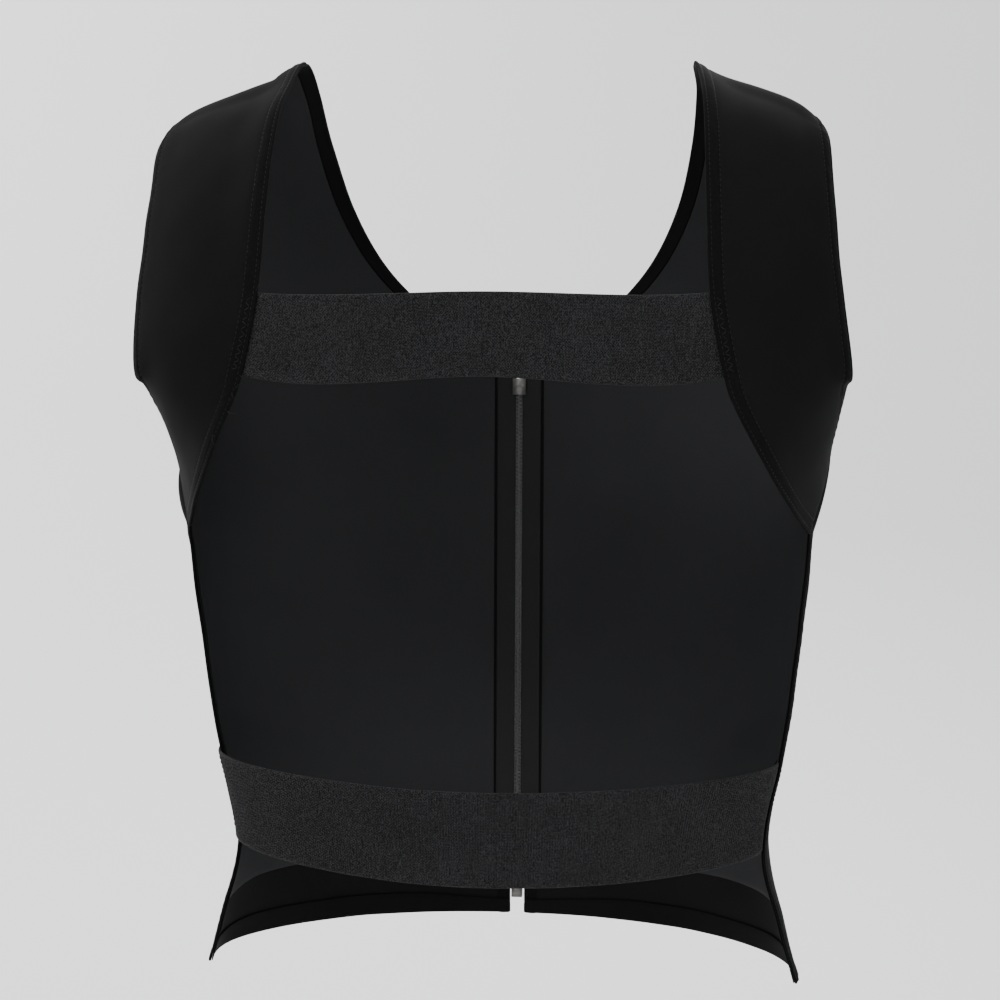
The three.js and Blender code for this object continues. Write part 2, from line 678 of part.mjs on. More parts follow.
const vest = new THREE.Group();
[['right', false], ['left', true]].forEach(([side, mirrored]) => {
  vest.add(...backPanel(side, mirrored), ...frontPanel(side, mirrored));
});
vest.add(named('upper_elastic_band', upperBand(), cloth.band));
vest.add(named('lower_elastic_band', lowerBand(), cloth.band));
const zip = new THREE.Group();
zip.position.copy(zipTop);
zip.rotation.x = zipTilt;
zip.add(...zipFixed(), zipMoving());
vest.add(zip);

export default vest;
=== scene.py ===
"""Looks of a sleeveless black work vest with an open back, two elastic bands and a front zip.

The vest hangs from the wearer's shoulders. Lengths below are millimetres unless said otherwise, and
every mesh is made in metres: +Z up, the wearer's back towards -Y, the wearer's right towards +X. Each
side has a back panel and a front panel. A panel is a surface of rows: a row leaves the inner edge,
crosses the cloth and arrives at the outer edge. Every layer of cloth is a stretch of that surface at
its own depth, so the layers follow each other.
"""

import logging
import math
from dataclasses import dataclass
from enum import Enum
from typing import Callable, Optional, Sequence

import bmesh
import bpy
import numpy as np
from mathutils import Matrix, Vector


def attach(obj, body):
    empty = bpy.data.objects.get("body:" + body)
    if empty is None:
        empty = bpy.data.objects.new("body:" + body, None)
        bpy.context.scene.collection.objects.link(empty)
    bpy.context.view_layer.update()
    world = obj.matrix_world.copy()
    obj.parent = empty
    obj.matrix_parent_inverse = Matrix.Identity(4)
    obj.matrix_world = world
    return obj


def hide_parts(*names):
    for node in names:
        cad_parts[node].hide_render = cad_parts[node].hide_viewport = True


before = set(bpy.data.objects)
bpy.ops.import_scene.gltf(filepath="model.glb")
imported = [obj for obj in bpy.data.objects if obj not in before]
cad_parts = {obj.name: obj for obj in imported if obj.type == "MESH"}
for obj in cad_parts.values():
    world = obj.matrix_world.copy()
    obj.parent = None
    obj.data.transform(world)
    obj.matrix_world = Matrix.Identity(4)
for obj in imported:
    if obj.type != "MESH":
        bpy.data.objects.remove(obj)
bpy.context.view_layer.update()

LOG = logging.getLogger("vest")
MM = 0.001
SEED = 20

# Where the shell and the layers behind it start, in stations below the shoulder seam
SHELL_START = 0.0015
LAYER_START = 0.004

# Least sheet width, in metres: a narrower strip is logged with this width beside its own, and its area is
# logged as measured. A narrower strip is declared this wide.
NARROWEST_SHEET = 0.01

# Sizes shared by the whole vest
HEM_WIDTH = 10.0
SHELL_WALL = 1.2
LINING_WALL = 0.8
BAND_WALL = 1.6
PATCH_WALL = 1.0
LAYER_GAP = 0.3
LINING_DEPTH = SHELL_WALL + LAYER_GAP
PATCH_DEPTH = LINING_DEPTH + BAND_WALL + LAYER_GAP
LINING_SPAN = (LINING_DEPTH, LINING_DEPTH + LINING_WALL)
PATCH_SPAN = (PATCH_DEPTH, PATCH_DEPTH + PATCH_WALL)
ZIP_GAP_HALF = 6.0


class Side(Enum):
    """A side of the vest, with the sign of its x."""

    RIGHT = 1.0
    LEFT = -1.0

    @property
    def label(self) -> str:
        """The word used in piece names."""
        return self.name.lower()


# ---------------------------------------------------------------- curves and noise


def hermite(a: np.ndarray, ta: np.ndarray, b: np.ndarray, tb: np.ndarray, t: np.ndarray) -> np.ndarray:
    """Runs a cubic from a to b.

    Args:
        a: Start point.
        ta: Heading at the start, with its length.
        b: End point.
        tb: Heading at the end, with its length.
        t: Share of the way, from 0 to 1.

    Returns:
        The points at t.
    """
    t2, t3 = t * t, t * t * t
    return (2 * t3 - 3 * t2 + 1) * a + (t3 - 2 * t2 + t) * ta + (3 * t2 - 2 * t3) * b + (t3 - t2) * tb


def through(points: Sequence[Sequence[float]], stations: np.ndarray,
            lead: Optional[Sequence[float]] = None) -> np.ndarray:
    """Runs a smooth line through points.

    Args:
        points: The points, one at each whole station.
        stations: Where to read the line.
        lead: A point before the first, which only steers the line's start.

    Returns:
        The places at the stations.
    """
    table = np.asarray(points, float)
    before = 2 * table[0] - table[1] if lead is None else np.asarray(lead, float)
    table = np.vstack([before, table, 2 * table[-1] - table[-2]])
    at = np.clip(stations, 0, len(points) - 1)
    k = np.minimum(at.astype(int), len(points) - 2)
    p0, p1, p2, p3 = (table[k + i] for i in range(4))
    return hermite(p1, (p2 - p0) / 2, p2, (p3 - p1) / 2, (at - k)[:, None])


def unit(vectors: np.ndarray) -> np.ndarray:
    """Vectors at length 1."""
    return vectors / np.maximum(np.linalg.norm(vectors, axis=-1, keepdims=True), 1e-9)


def read_line(table: np.ndarray, run: np.ndarray, at: np.ndarray) -> np.ndarray:
    """Reads a line of points between its own points.

    Args:
        table: The line's points.
        run: Running length at each of them.
        at: The lengths to read.

    Returns:
        The points there.
    """
    return np.stack([np.interp(at, run, table[:, k]) for k in range(3)], axis=-1)


def bell(distance: np.ndarray, width: float) -> np.ndarray:
    """A soft bump: 1 at distance 0, fading over width."""
    return np.exp(-((distance / width) ** 2))


def ramp(value: np.ndarray, low: float, high: float) -> np.ndarray:
    """A smooth step from 0 at low to 1 at high."""
    t = np.clip((value - low) / (high - low), 0, 1)
    return t * t * (3 - 2 * t)


def ripple(points: np.ndarray, length: float, seed: int) -> np.ndarray:
    """Smooth noise between about -1 and 1.

    Args:
        points: Places, in millimetres.
        length: The usual distance from one crest to the next.
        seed: Which noise.

    Returns:
        One value for each place.
    """
    rng = np.random.default_rng(SEED + seed)
    total = np.zeros(points.shape[:-1])
    for _ in range(6):
        heading = unit(rng.normal(size=3))
        pitch = length * rng.uniform(0.75, 1.5)
        total += np.sin(points @ heading * (2 * math.pi / pitch) + rng.uniform(0, 2 * math.pi))
    return total / 3


@dataclass(frozen=True)
class Fold:
    """A soft ridge or dent in the cloth along a straight line.

    Args:
        start: One end of its crest, in millimetres.
        end: The other end.
        height: How far it stands out, negative for a dent.
        width: Half its breadth.
    """

    start: tuple[float, float, float]
    end: tuple[float, float, float]
    height: float
    width: float

    def lift(self, points: np.ndarray) -> np.ndarray:
        """How far the fold lifts each place."""
        a, b = np.array(self.start), np.array(self.end)
        along = np.clip(((points - a) @ (b - a)) / ((b - a) @ (b - a)), 0, 1)
        near = a + along[..., None] * (b - a)
        fade = np.sin(np.pi * np.clip(along, 0.08, 0.92)) ** 0.5
        return self.height * fade * bell(np.linalg.norm(points - near, axis=-1), self.width)


@dataclass(frozen=True)
class Drape:
    """How the worn cloth departs from its smooth shape, the same for every layer."""

    folds: tuple[Fold, ...] = (
        Fold((-124, 6, -2), (-152, 2, -14), 6.5, 24.0),
        Fold((-141, -72, -66), (-151, -92, -118), 2.3, 5.5),
        Fold((-152, -110, -212), (-166, -100, -240), 3.4, 6.0),
        Fold((-168, -98, -236), (-188, -70, -264), -2.2, 5.0),
        Fold((-220, -6, -268), (-208, -20, -306), 4.5, 9.0),
        Fold((150, -108, -60), (205, -66, -120), 1.0, 12.0),
        Fold((158, -112, -190), (215, -72, -150), 1.2, 10.0),
        Fold((-158, -112, -190), (-212, -74, -165), 1.1, 11.0),
        Fold((222, -48, -206), (212, 20, -262), -1.2, 9.0),
        Fold((196, 10, -420), (150, 74, -470), 1.8, 11.0),
        Fold((193, 0, -500), (140, 84, -470), 1.6, 9.0),
        Fold((-196, 10, -430), (-150, 74, -480), 1.8, 11.0),
        Fold((-190, 4, -500), (-138, 84, -520), 1.5, 9.0),
        Fold((120, 108, -215), (60, 128, -300), 1.4, 14.0),
        Fold((-118, 108, -220), (-50, 128, -285), 1.5, 13.0),
        Fold((203, 50, -170), (150, 104, -210), 1.6, 10.0),
        Fold((-204, 48, -176), (-148, 104, -206), 1.6, 10.0),
        Fold((180, 40, -540), (120, 90, -600), 2.0, 13.0),
        Fold((-178, 40, -545), (-112, 92, -600), 2.0, 13.0),
    )
    long_wave: float = 0.9
    short_wave: float = 0.28
    calm_half: float = 9.0
    right_in: float = -8.0
    left_out: float = -3.0

    def lift(self, points: np.ndarray) -> np.ndarray:
        """How far each place stands out from the smooth shape, in millimetres."""
        total = self.long_wave * ripple(points, 150, 1) + self.short_wave * ripple(points, 38, 2)
        for fold in self.folds:
            total = total + fold.lift(points)
        return total * ramp(np.abs(points[..., 0]), self.calm_half, self.calm_half + 24)

    def shift(self, points: np.ndarray) -> np.ndarray:
        """How far sideways each place sits, as the worn shoulders aren't quite alike."""
        high = ramp(points[..., 2], -240, -120)
        right = ramp(points[..., 0], 140, 215) * high
        left = ramp(-points[..., 0], 140, 215) * high
        return np.array([1.0, 0, 0]) * (self.right_in * right + self.left_out * left)[..., None]


DRAPE = Drape()


# ---------------------------------------------------------------- panels


@dataclass
class Patch:
    """A stretch of a panel's surface as a grid of rows and columns.

    Args:
        places: Row by column points, in millimetres.
        normals: The outward directions there.
        stations: The station of each row.
        inner: Distance of each point from the inner edge.
        outer: Distance of each point from the outer edge.
    """

    places: np.ndarray
    normals: np.ndarray
    stations: np.ndarray
    inner: np.ndarray
    outer: np.ndarray

    def at_depth(self, depth: np.ndarray | float) -> np.ndarray:
        """The grid moved inwards by depth."""
        return self.places - self.normals * np.broadcast_to(depth, self.inner.shape)[..., None]

    def along(self) -> np.ndarray:
        """Running length down each column."""
        steps = np.linalg.norm(np.diff(self.places, axis=0), axis=-1)
        return np.vstack([np.zeros(steps.shape[1]), np.cumsum(steps, axis=0)])

    def flat_size(self) -> tuple[float, float, float]:
        """The cloth's cut width, length and area before it was sewn, in metres."""
        across = np.linalg.norm(np.diff(self.places, axis=1), axis=-1)
        down = np.linalg.norm(np.diff(self.places, axis=0), axis=-1)
        cell_w = (across[:-1] + across[1:]) / 2
        cell_l = (down[:, :-1] + down[:, 1:]) / 2
        width = across.sum(axis=1).max() * MM
        length = down.sum(axis=0).max() * MM
        u = np.diff(self.places, axis=1)[:-1]
        v = np.diff(self.places, axis=0)[:, :-1]
        lean = np.linalg.norm(np.cross(unit(u), unit(v)), axis=-1)
        return width, length, float((cell_w * cell_l * lean).sum()) * MM * MM


@dataclass
class Panel:
    """One panel of the right side; the left side is its mirror.

    Args:
        inner: Inner edge line, read at stations.
        outer: Outer edge line, read at stations.
        leave: Row headings at the inner edge, one at each station.
        arrive: Row headings at the outer edge.
        fullness: Lengths of both headings as shares of the row's chord.
        facing: 1 where stations run towards +Y at the shoulder, else -1.
    """

    inner: Callable[[np.ndarray], np.ndarray]
    outer: Callable[[np.ndarray], np.ndarray]
    leave: Sequence[Sequence[float]]
    arrive: Sequence[Sequence[float]]
    fullness: Sequence[Sequence[float]]
    facing: float
    samples: int = 140
    per_station: int = 40
    ease: float = 0.8
    _eased: Optional[tuple[np.ndarray, np.ndarray]] = None

    def _rows(self, stations: np.ndarray) -> tuple[np.ndarray, np.ndarray]:
        """Eased rows as fine points, and the running length along each."""
        if self._eased is None:
            self._eased = self._ease()
        known, table = self._eased
        k = np.clip(np.searchsorted(known, stations) - 1, 0, len(known) - 2)
        share = ((stations - known[k]) / (known[k + 1] - known[k]))[:, None, None]
        rows = table[k] * (1 - share) + table[k + 1] * share
        steps_along = np.linalg.norm(np.diff(rows, axis=1), axis=-1)
        return rows, np.hstack([np.zeros((len(rows), 1)), np.cumsum(steps_along, axis=1)])

    def _ease(self) -> tuple[np.ndarray, np.ndarray]:
        """Every row of the panel, with creases inside it smoothed away and its edges kept."""
        last = len(self.leave) - 1
        known = steps(0, last, last * self.per_station)
        rows = self.plain_rows(known)
        reach = int(2.5 * self.ease * self.per_station)
        weights = bell(np.arange(-reach, reach + 1.0), 1.414 * self.ease * self.per_station)
        head = 2 * rows[:1] - rows[reach:0:-1]
        tail = 2 * rows[-1:] - rows[-2:-reach - 2:-1]
        longer = np.concatenate([head, rows, tail])
        soft = sum(w * longer[k:k + len(rows)] for k, w in enumerate(weights / weights.sum()))
        t = np.linspace(0, 1, self.samples + 1)
        inside = ramp(np.minimum(t, 1 - t), 0, 0.3)[None, :]
        ends = ramp(np.minimum(known, last - known), 0, 0.8)[:, None]
        mix = (inside * ends)[..., None]
        return known, rows * (1 - mix) + soft * mix

    def plain_rows(self, stations: np.ndarray) -> np.ndarray:
        """Rows as they run from edge to edge, as fine points."""
        a, b = self.inner(stations), self.outer(stations)
        chord = np.linalg.norm(b - a, axis=1, keepdims=True)
        full = through(self.fullness, stations)
        ta = unit(through(self.leave, stations)) * chord * full[:, :1]
        tb = unit(through(self.arrive, stations)) * chord * full[:, 1:]
        t = np.linspace(0, 1, self.samples + 1)[None, :, None]
        return hermite(a[:, None], ta[:, None], b[:, None], tb[:, None], t)

    def patch(self, side: Side, stations: np.ndarray, columns: np.ndarray) -> Patch:
        """Reads a stretch of the panel's surface.

        Args:
            side: Which side of the vest.
            stations: Row stations, in order.
            columns: Column numbers. 0 to 1 and 2 to 3 are the hems, each one hem width, and 1 to 2
                is all between. Below 0 the row runs on straight past its inner edge.

        Returns:
            The grid, with the drape's folds in it.
        """
        rows, lengths = self._rows(stations)
        total = lengths[:, -1:]
        inside = columns * HEM_WIDTH
        middle = HEM_WIDTH + (columns - 1) * (total - 2 * HEM_WIDTH)
        outside = total - (3 - columns) * HEM_WIDTH
        wanted = np.where(columns < 1, inside, np.where(columns < 2, middle, outside))
        places = np.empty(wanted.shape + (3,))
        for r, (row, run) in enumerate(zip(rows, lengths)):
            for k in range(3):
                places[r, :, k] = np.interp(wanted[r], run, row[:, k])
            past = np.minimum(wanted[r], 0)[:, None]
            places[r] += past * unit(row[2] - row[0])
        across = np.gradient(places, axis=1)
        down = np.gradient(places, axis=0)
        if stations[0] == 0:
            down[0] = (0, self.facing, 0)
        normals = unit(np.cross(across, down)) * self.facing
        mirror = np.array([side.value, 1, 1])
        places, normals = places * mirror, normals * mirror
        places = places + normals * DRAPE.lift(places)[..., None] + DRAPE.shift(places)
        return Patch(places, normals, stations, wanted, total - wanted)


@dataclass
class VestPattern:
    """The vest's cut: drops from the shoulder top, half widths and depths, in millimetres."""

    length: float = 610
    shoulder_drop: float = 41
    armhole_drop: float = 246
    armhole_corner: float = 198
    neck_drop: float = 205
    side_corner: float = 305
    upper_band_drop: float = 150
    upper_band_width: float = 50
    lower_band_drop: float = 459
    lower_band_width: float = 60
    lining_short: float = 39
    hem_height: float = 10
    neck_half: float = 128
    shoulder_half: float = 218
    armhole_half: float = 231
    underarm_half: float = 219
    band_half: float = 140
    side_half: float = 205
    waist_half: float = 180
    hem_half: float = 201
    back_depth: float = 115
    chest_depth: float = 129
    hem_depth: float = 113
    armhole_depth: float = 62
    waist_back: float = 100
    band_sag: float = 6

    BAND_TOP = 4
    BAND_END = 5
    SIDE_SEAM = 9
    CENTRE_TOP = 7
    SIDE_CORNER = 9
    LOWER_TOP = 12
    LOWER_END = 13
    LINING_END = 14
    HEM_LINE = 15
    HEM = 16

    def zip_depth(self, z: float) -> float:
        """How far forward the zip line lies at height z."""
        share = (-z - self.neck_drop) / (self.length - self.neck_drop)
        return self.chest_depth + (self.hem_depth - self.chest_depth) * share

    def back_inner(self) -> list[tuple[float, float, float]]:
        """Neck edge, band seam and lower inner edge of the back panel."""
        n, b, s = self.neck_half, self.back_depth, self.side_half
        band_end = -self.upper_band_drop - self.upper_band_width
        return [
            (n, 0, 0), (n + 4, -0.3 * b, -12), (n + 7, -0.58 * b, -40), (n + 9, -0.8 * b, -90),
            (self.band_half, -0.93 * b, -self.upper_band_drop), (self.band_half + 9, -0.98 * b, band_end),
            (self.band_half + 16, -0.97 * b, band_end - 20), (s - 32, -0.87 * b, -self.side_corner + 53),
            (s - 14, -0.61 * b, -self.side_corner + 22), (s, -0.28 * b, -self.side_corner),
        ]

    def back_outer(self) -> list[tuple[float, float, float]]:
        """Armhole edge of the back panel."""
        h, d, a = self.shoulder_half, self.armhole_depth, self.armhole_half
        u, drop, top = self.underarm_half, self.armhole_drop, -self.shoulder_drop
        return [
            (h, 0, top), (h + 4, -0.36 * d, top - 12), (h + 5, -0.62 * d, top - 36),
            (a - 6, -0.84 * d, top - 70), (a - 3, -0.95 * d, -self.armhole_corner + 50),
            (a, -d, -self.armhole_corner), (a - 3, -0.84 * d, -self.armhole_corner - 11),
            (u + 6, -0.6 * d, -drop + 24), (u + 2, -0.34 * d, -drop + 10), (u, -0.1 * d, -drop),
        ]

    def front_neck(self) -> list[tuple[float, float, float]]:
        """Neck edge of the front panel, down to the zip."""
        n, c, drop = self.neck_half, self.chest_depth, self.neck_drop
        return [
            (n, 0, 0), (n + 1, 0.28 * c, -14), (n - 2, 0.52 * c, -48), (n - 12, 0.71 * c, -90),
            (n - 32, 0.85 * c, -130), (n - 63, 0.945 * c, -drop + 41), (n - 97, 0.985 * c, -drop + 17),
            (ZIP_GAP_HALF, c, -drop),
        ]

    def front_armhole(self) -> list[tuple[float, float, float]]:
        """Armhole edge of the front panel."""
        h, d, u = self.shoulder_half, self.armhole_depth, self.underarm_half
        drop, top = self.armhole_drop, -self.shoulder_drop
        return [
            (h, 0, top), (h + 1, 0.36 * d, top - 12), (h - 2, 0.68 * d, top - 38),
            (h - 8, 0.9 * d, top - 71), (h - 10, d, -drop + 96), (u - 8, 0.92 * d, -drop + 58),
            (u - 4, 0.55 * d, -drop + 24), (u, -0.1 * d, -drop),
        ]

    def heights(self) -> list[float]:
        """Heights of the zip edge at the stations from the neck down."""
        band_end = -self.lower_band_drop - self.lower_band_width
        return [-self.neck_drop, -240, -285, -340, -400, -self.lower_band_drop, band_end,
                -self.length + self.lining_short, -self.length + self.hem_height, -self.length]

    def front_side(self) -> list[tuple[float, float, float]]:
        """Free side edge of the front panel, from the side seam down."""
        b, s, w, h = self.back_depth, self.side_half, self.waist_half, self.hem_half
        low = self.heights()
        return [
            (s, -0.28 * b, -self.side_corner), (s - 2, -0.25 * b, -350), (s - 8, -0.22 * b, -405),
            (w + 9, -0.19 * b, low[5]), (w, -0.165 * b, low[6]), ((w + h) / 2, -0.155 * b, low[7]),
            (h - 3, -0.14 * b, low[8]), (h, -0.14 * b, low[9]),
        ]

    def back_panel(self) -> Panel:
        """The back shoulder panel of the right side."""
        inner, outer = self.back_inner(), self.back_outer()
        neck, armhole = self.front_neck(), self.front_armhole()
        leave = [(0.78, 0, -0.62), (0.85, -0.15, -0.5), (0.95, -0.1, -0.3), (1, -0.05, -0.1),
                 (1, 0, 0), (1, 0.05, 0), (0.98, 0.15, 0.1), (0.88, 0.4, 0.3), (0.5, 0.7, 0.5),
                 (0.28, 0.4, 0.87)]
        arrive = [(0.55, 0, -0.83), (0.5, 0.25, -0.83), (0.45, 0.55, -0.7), (0.45, 0.85, -0.3),
                  (0.45, 0.9, 0), (0.5, 0.87, 0), (0.4, 0.9, 0.1), (0.2, 0.9, 0.3), (0.08, 0.8, 0.6),
                  (0.08, 0.4, 0.91)]
        return Panel(
            inner=lambda s: through(inner, s, neck[1]), outer=lambda s: through(outer, s, armhole[1]),
            leave=leave, arrive=arrive, fullness=[(1, 0.9)] * 10, facing=-1,
        )

    def front_panel(self) -> Panel:
        """The front panel of the right side."""
        back = self.back_panel()
        back_in, back_out = self.back_inner(), self.back_outer()
        neck, armhole, side = self.front_neck(), self.front_armhole(), self.front_side()
        centre = [(ZIP_GAP_HALF, self.zip_depth(z), z) for z in self.heights()]
        seam = back.plain_rows(np.array([float(self.SIDE_SEAM)]))[0]

        def inner(s: np.ndarray) -> np.ndarray:
            """Neck edge, then the zip edge."""
            above = through(neck, s, back_in[1])
            return np.where((s <= self.CENTRE_TOP)[:, None], above, through(centre, s - self.CENTRE_TOP))

        def outer(s: np.ndarray) -> np.ndarray:
            """Armhole, then the seam to the back panel, then the free side edge."""
            above = through(armhole, s, back_out[1])
            share = np.clip((self.SIDE_CORNER - s) / (self.SIDE_CORNER - 7), 0, 1)
            knots = np.linspace(0, 1, len(seam))
            on_seam = np.stack([np.interp(share, knots, seam[:, k]) for k in range(3)], axis=1)
            below = through(side, s - self.SIDE_CORNER)
            low = np.where((s < self.SIDE_CORNER)[:, None], on_seam, below)
            return np.where((s <= 7)[:, None], above, low)

        leave = [(0.78, 0, -0.62), (0.87, 0.1, -0.48), (0.95, 0.08, -0.28), (0.98, -0.1, -0.1),
                 (0.99, -0.08, 0), (1, -0.05, 0), (1, -0.02, 0)] + [(1, 0, 0)] * 10
        arrive = [(0.55, 0, -0.83), (0.5, -0.25, -0.83), (0.45, -0.55, -0.7), (0.4, -0.85, -0.3),
                  (0.3, -0.95, 0), (0.15, -0.98, 0), (0, -1, 0), (-0.08, -1, 0)] + [(-0.25, -0.97, 0)] * 9
        fullness = [(1, 0.9)] * 4 + [(1.05, 0.9), (1.1, 0.95), (1.2, 0.95)] + [(1.3, 1)] * 10
        return Panel(inner=inner, outer=outer, leave=leave, arrive=arrive, fullness=fullness, facing=1)


def steps(low: float, high: float, count: int) -> np.ndarray:
    """Even stations or columns from low to high."""
    return np.linspace(low, high, count + 1)


# ---------------------------------------------------------------- meshes


@dataclass(frozen=True)
class Rims:
    """How far each rim of a sheet is rounded: 1 for a folded edge, 0 for a cut one at a seam."""

    top: float = 1.0
    bottom: float = 1.0
    inner: float = 1.0
    outer: float = 1.0


def sheet_mesh(name: str, outer: np.ndarray, inner: np.ndarray, rims: Rims = Rims(), turns: int = 4,
               mark: Optional[np.ndarray] = None) -> bpy.types.Object:
    """Makes a closed sheet between two grids, in millimetres, with rounded rims.

    Args:
        name: The piece's name.
        outer: Row by column points of the outward face.
        inner: The same points on the inward face.
        rims: How round each rim is.
        turns: Faces round a rim.
        mark: How far each outward point belongs to a hem, from 0 to 1, which the finish reads for grain and
            painted shade.

    Returns:
        The new object.
    """
    rows, cols = outer.shape[:2]
    number = np.arange(rows * cols).reshape(rows, cols)
    ring = np.concatenate([number[0, :-1], number[:-1, -1], number[-1, :0:-1], number[:0:-1, 0]])
    inside = np.concatenate([number[1, :-1], number[:-1, -2], number[-2, :0:-1], number[:0:-1, 1]])
    soft = np.concatenate([np.full(cols - 1, rims.top), np.full(rows - 1, rims.outer),
                           np.full(cols - 1, rims.bottom), np.full(rows - 1, rims.inner)])
    soft = np.minimum(soft, np.roll(soft, 1))
    flat_out, flat_in = outer.reshape(-1, 3), inner.reshape(-1, 3)
    middle = (flat_out[ring] + flat_in[ring]) / 2
    reach = (flat_out[ring] - flat_in[ring]) / 2
    away = unit(middle - (flat_out[inside] + flat_in[inside]) / 2)
    radius = np.linalg.norm(reach, axis=1, keepdims=True) * soft[:, None]
    loops = [ring]
    points = [flat_out, flat_in]
    start = 2 * rows * cols
    for k in range(1, turns):
        angle = math.pi * k / turns
        points.append(middle + reach * math.cos(angle) + away * radius * math.sin(angle))
        loops.append(start + np.arange(len(ring)))
        start += len(ring)
    loops.append(ring + rows * cols)
    a, b, c, d = number[:-1, :-1], number[1:, :-1], number[1:, 1:], number[:-1, 1:]
    front = np.stack([a, b, c, d], axis=-1).reshape(-1, 4)
    back = front[:, ::-1] + rows * cols
    sides = []
    for one, two in zip(loops[:-1], loops[1:]):
        sides.append(np.stack([one, np.roll(one, -1), np.roll(two, -1), two], axis=1))
    faces = np.vstack([front, back, *sides])
    thing = build(name, np.vstack(points), faces.tolist())
    if mark is not None:
        flat_mark = mark.reshape(-1)
        values = np.concatenate([flat_mark, flat_mark, np.tile(flat_mark[ring], turns - 1)])
        hem = thing.data.attributes.new("hem", "FLOAT", "POINT")
        hem.data.foreach_set("value", values.astype(np.float32))
    return thing


def placed(name: str, data: bpy.types.ID) -> bpy.types.Object:
    """Adds an object that shows data to the scene.

    Args:
        name: The object's name.
        data: Its mesh, lamp or camera.

    Returns:
        The new object.
    """
    thing = bpy.data.objects.new(name, data)
    bpy.context.scene.collection.objects.link(thing)
    return thing


def build(name: str, points: np.ndarray, faces: list[list[int]]) -> bpy.types.Object:
    """Makes a smooth-shaded object with its faces pointing out.

    Args:
        name: The object's name.
        points: Its points, in millimetres.
        faces: Point numbers of each face.

    Returns:
        The new object.
    """
    mesh = bpy.data.meshes.new(name)
    mesh.from_pydata((points * MM).tolist(), [], faces)
    mesh.update()
    work = bmesh.new()
    work.from_mesh(mesh)
    if work.calc_volume(signed=True) < 0:
        bmesh.ops.reverse_faces(work, faces=work.faces)
    work.to_mesh(mesh)
    work.free()
    mesh.shade_smooth()
    return placed(name, mesh)


def joined(name: str, things: Sequence[bpy.types.Object]) -> bpy.types.Object:
    """Joins objects into one piece.

    Args:
        name: The piece's name.
        things: What it is made of. They are removed.

    Returns:
        The piece.
    """
    merged = bmesh.new()
    for thing in things:
        merged.from_mesh(thing.data)
        bpy.data.objects.remove(thing)
    mesh = bpy.data.meshes.new(name)
    merged.to_mesh(mesh)
    merged.free()
    return placed(name, mesh)


@dataclass(frozen=True)
class Stitching:
    """A running row of thread.

    Args:
        length: One stitch.
        gap: Bare cloth between two stitches.
        radius: Half the thread's thickness.
        sides: Faces round the thread.
        shares: Where along a stitch its rings of points are.
        sunk: Height of its two ends over the cloth.
        proud: Height of the rest.
        bow: How much higher its middle is.
        end_slim: Thickness of the ends as a share of the rest.
    """

    length: float = 2.6
    gap: float = 0.8
    radius: float = 0.24
    sides: int = 6
    shares: tuple[float, ...] = (0.0, 0.18, 0.5, 0.82, 1.0)
    sunk: float = -0.3
    proud: float = 0.12
    bow: float = 0.08
    end_slim: float = 0.55

    def along(self, name: str, line: np.ndarray, normals: np.ndarray) -> bpy.types.Object:
        """Sews a row of stitches along a line.

        Args:
            name: The row's name.
            line: Points on the cloth, in millimetres.
            normals: The cloth's outward directions there.

        Returns:
            The stitches as one object.
        """
        run = np.concatenate([[0], np.cumsum(np.linalg.norm(np.diff(line, axis=0), axis=1))])
        pitch = self.length + self.gap
        count = max(int((run[-1] - self.gap) / pitch), 1)
        starts = (run[-1] - count * pitch + self.gap) / 2 + pitch * np.arange(count)
        shares = np.array(self.shares)
        ends = np.minimum(shares, 1 - shares) < 0.01
        rise = np.where(ends, self.sunk, self.proud + self.bow * np.sin(np.pi * shares))
        slim = np.where(ends, self.end_slim, 1.0)
        at = starts[:, None] + shares[None] * self.length
        centre, up = read_line(line, run, at), unit(read_line(normals, run, at))
        centre = centre + up * rise[None, :, None]
        ahead = unit(np.gradient(centre, axis=1))
        beside = unit(np.cross(ahead, up))
        up = np.cross(beside, ahead)
        angles = 2 * math.pi * np.arange(self.sides) / self.sides
        around = (np.cos(angles)[:, None] * beside[:, :, None] + np.sin(angles)[:, None] * up[:, :, None])
        rings = centre[:, :, None] + around * (self.radius * slim)[None, :, None, None]
        each = len(shares) * self.sides
        ids = np.arange(count * each).reshape(count, len(shares), self.sides)
        turned = np.roll(ids, -1, axis=2)
        quads = np.stack([ids[:, :-1], turned[:, :-1], turned[:, 1:], ids[:, 1:]], axis=-1)
        faces = quads.reshape(-1, 4).tolist()
        faces += ids[:, 0, ::-1].tolist() + ids[:, -1].tolist()
        return build(name, rings.reshape(-1, 3), faces)


# ---------------------------------------------------------------- finishes


Colour = tuple[float, float, float]


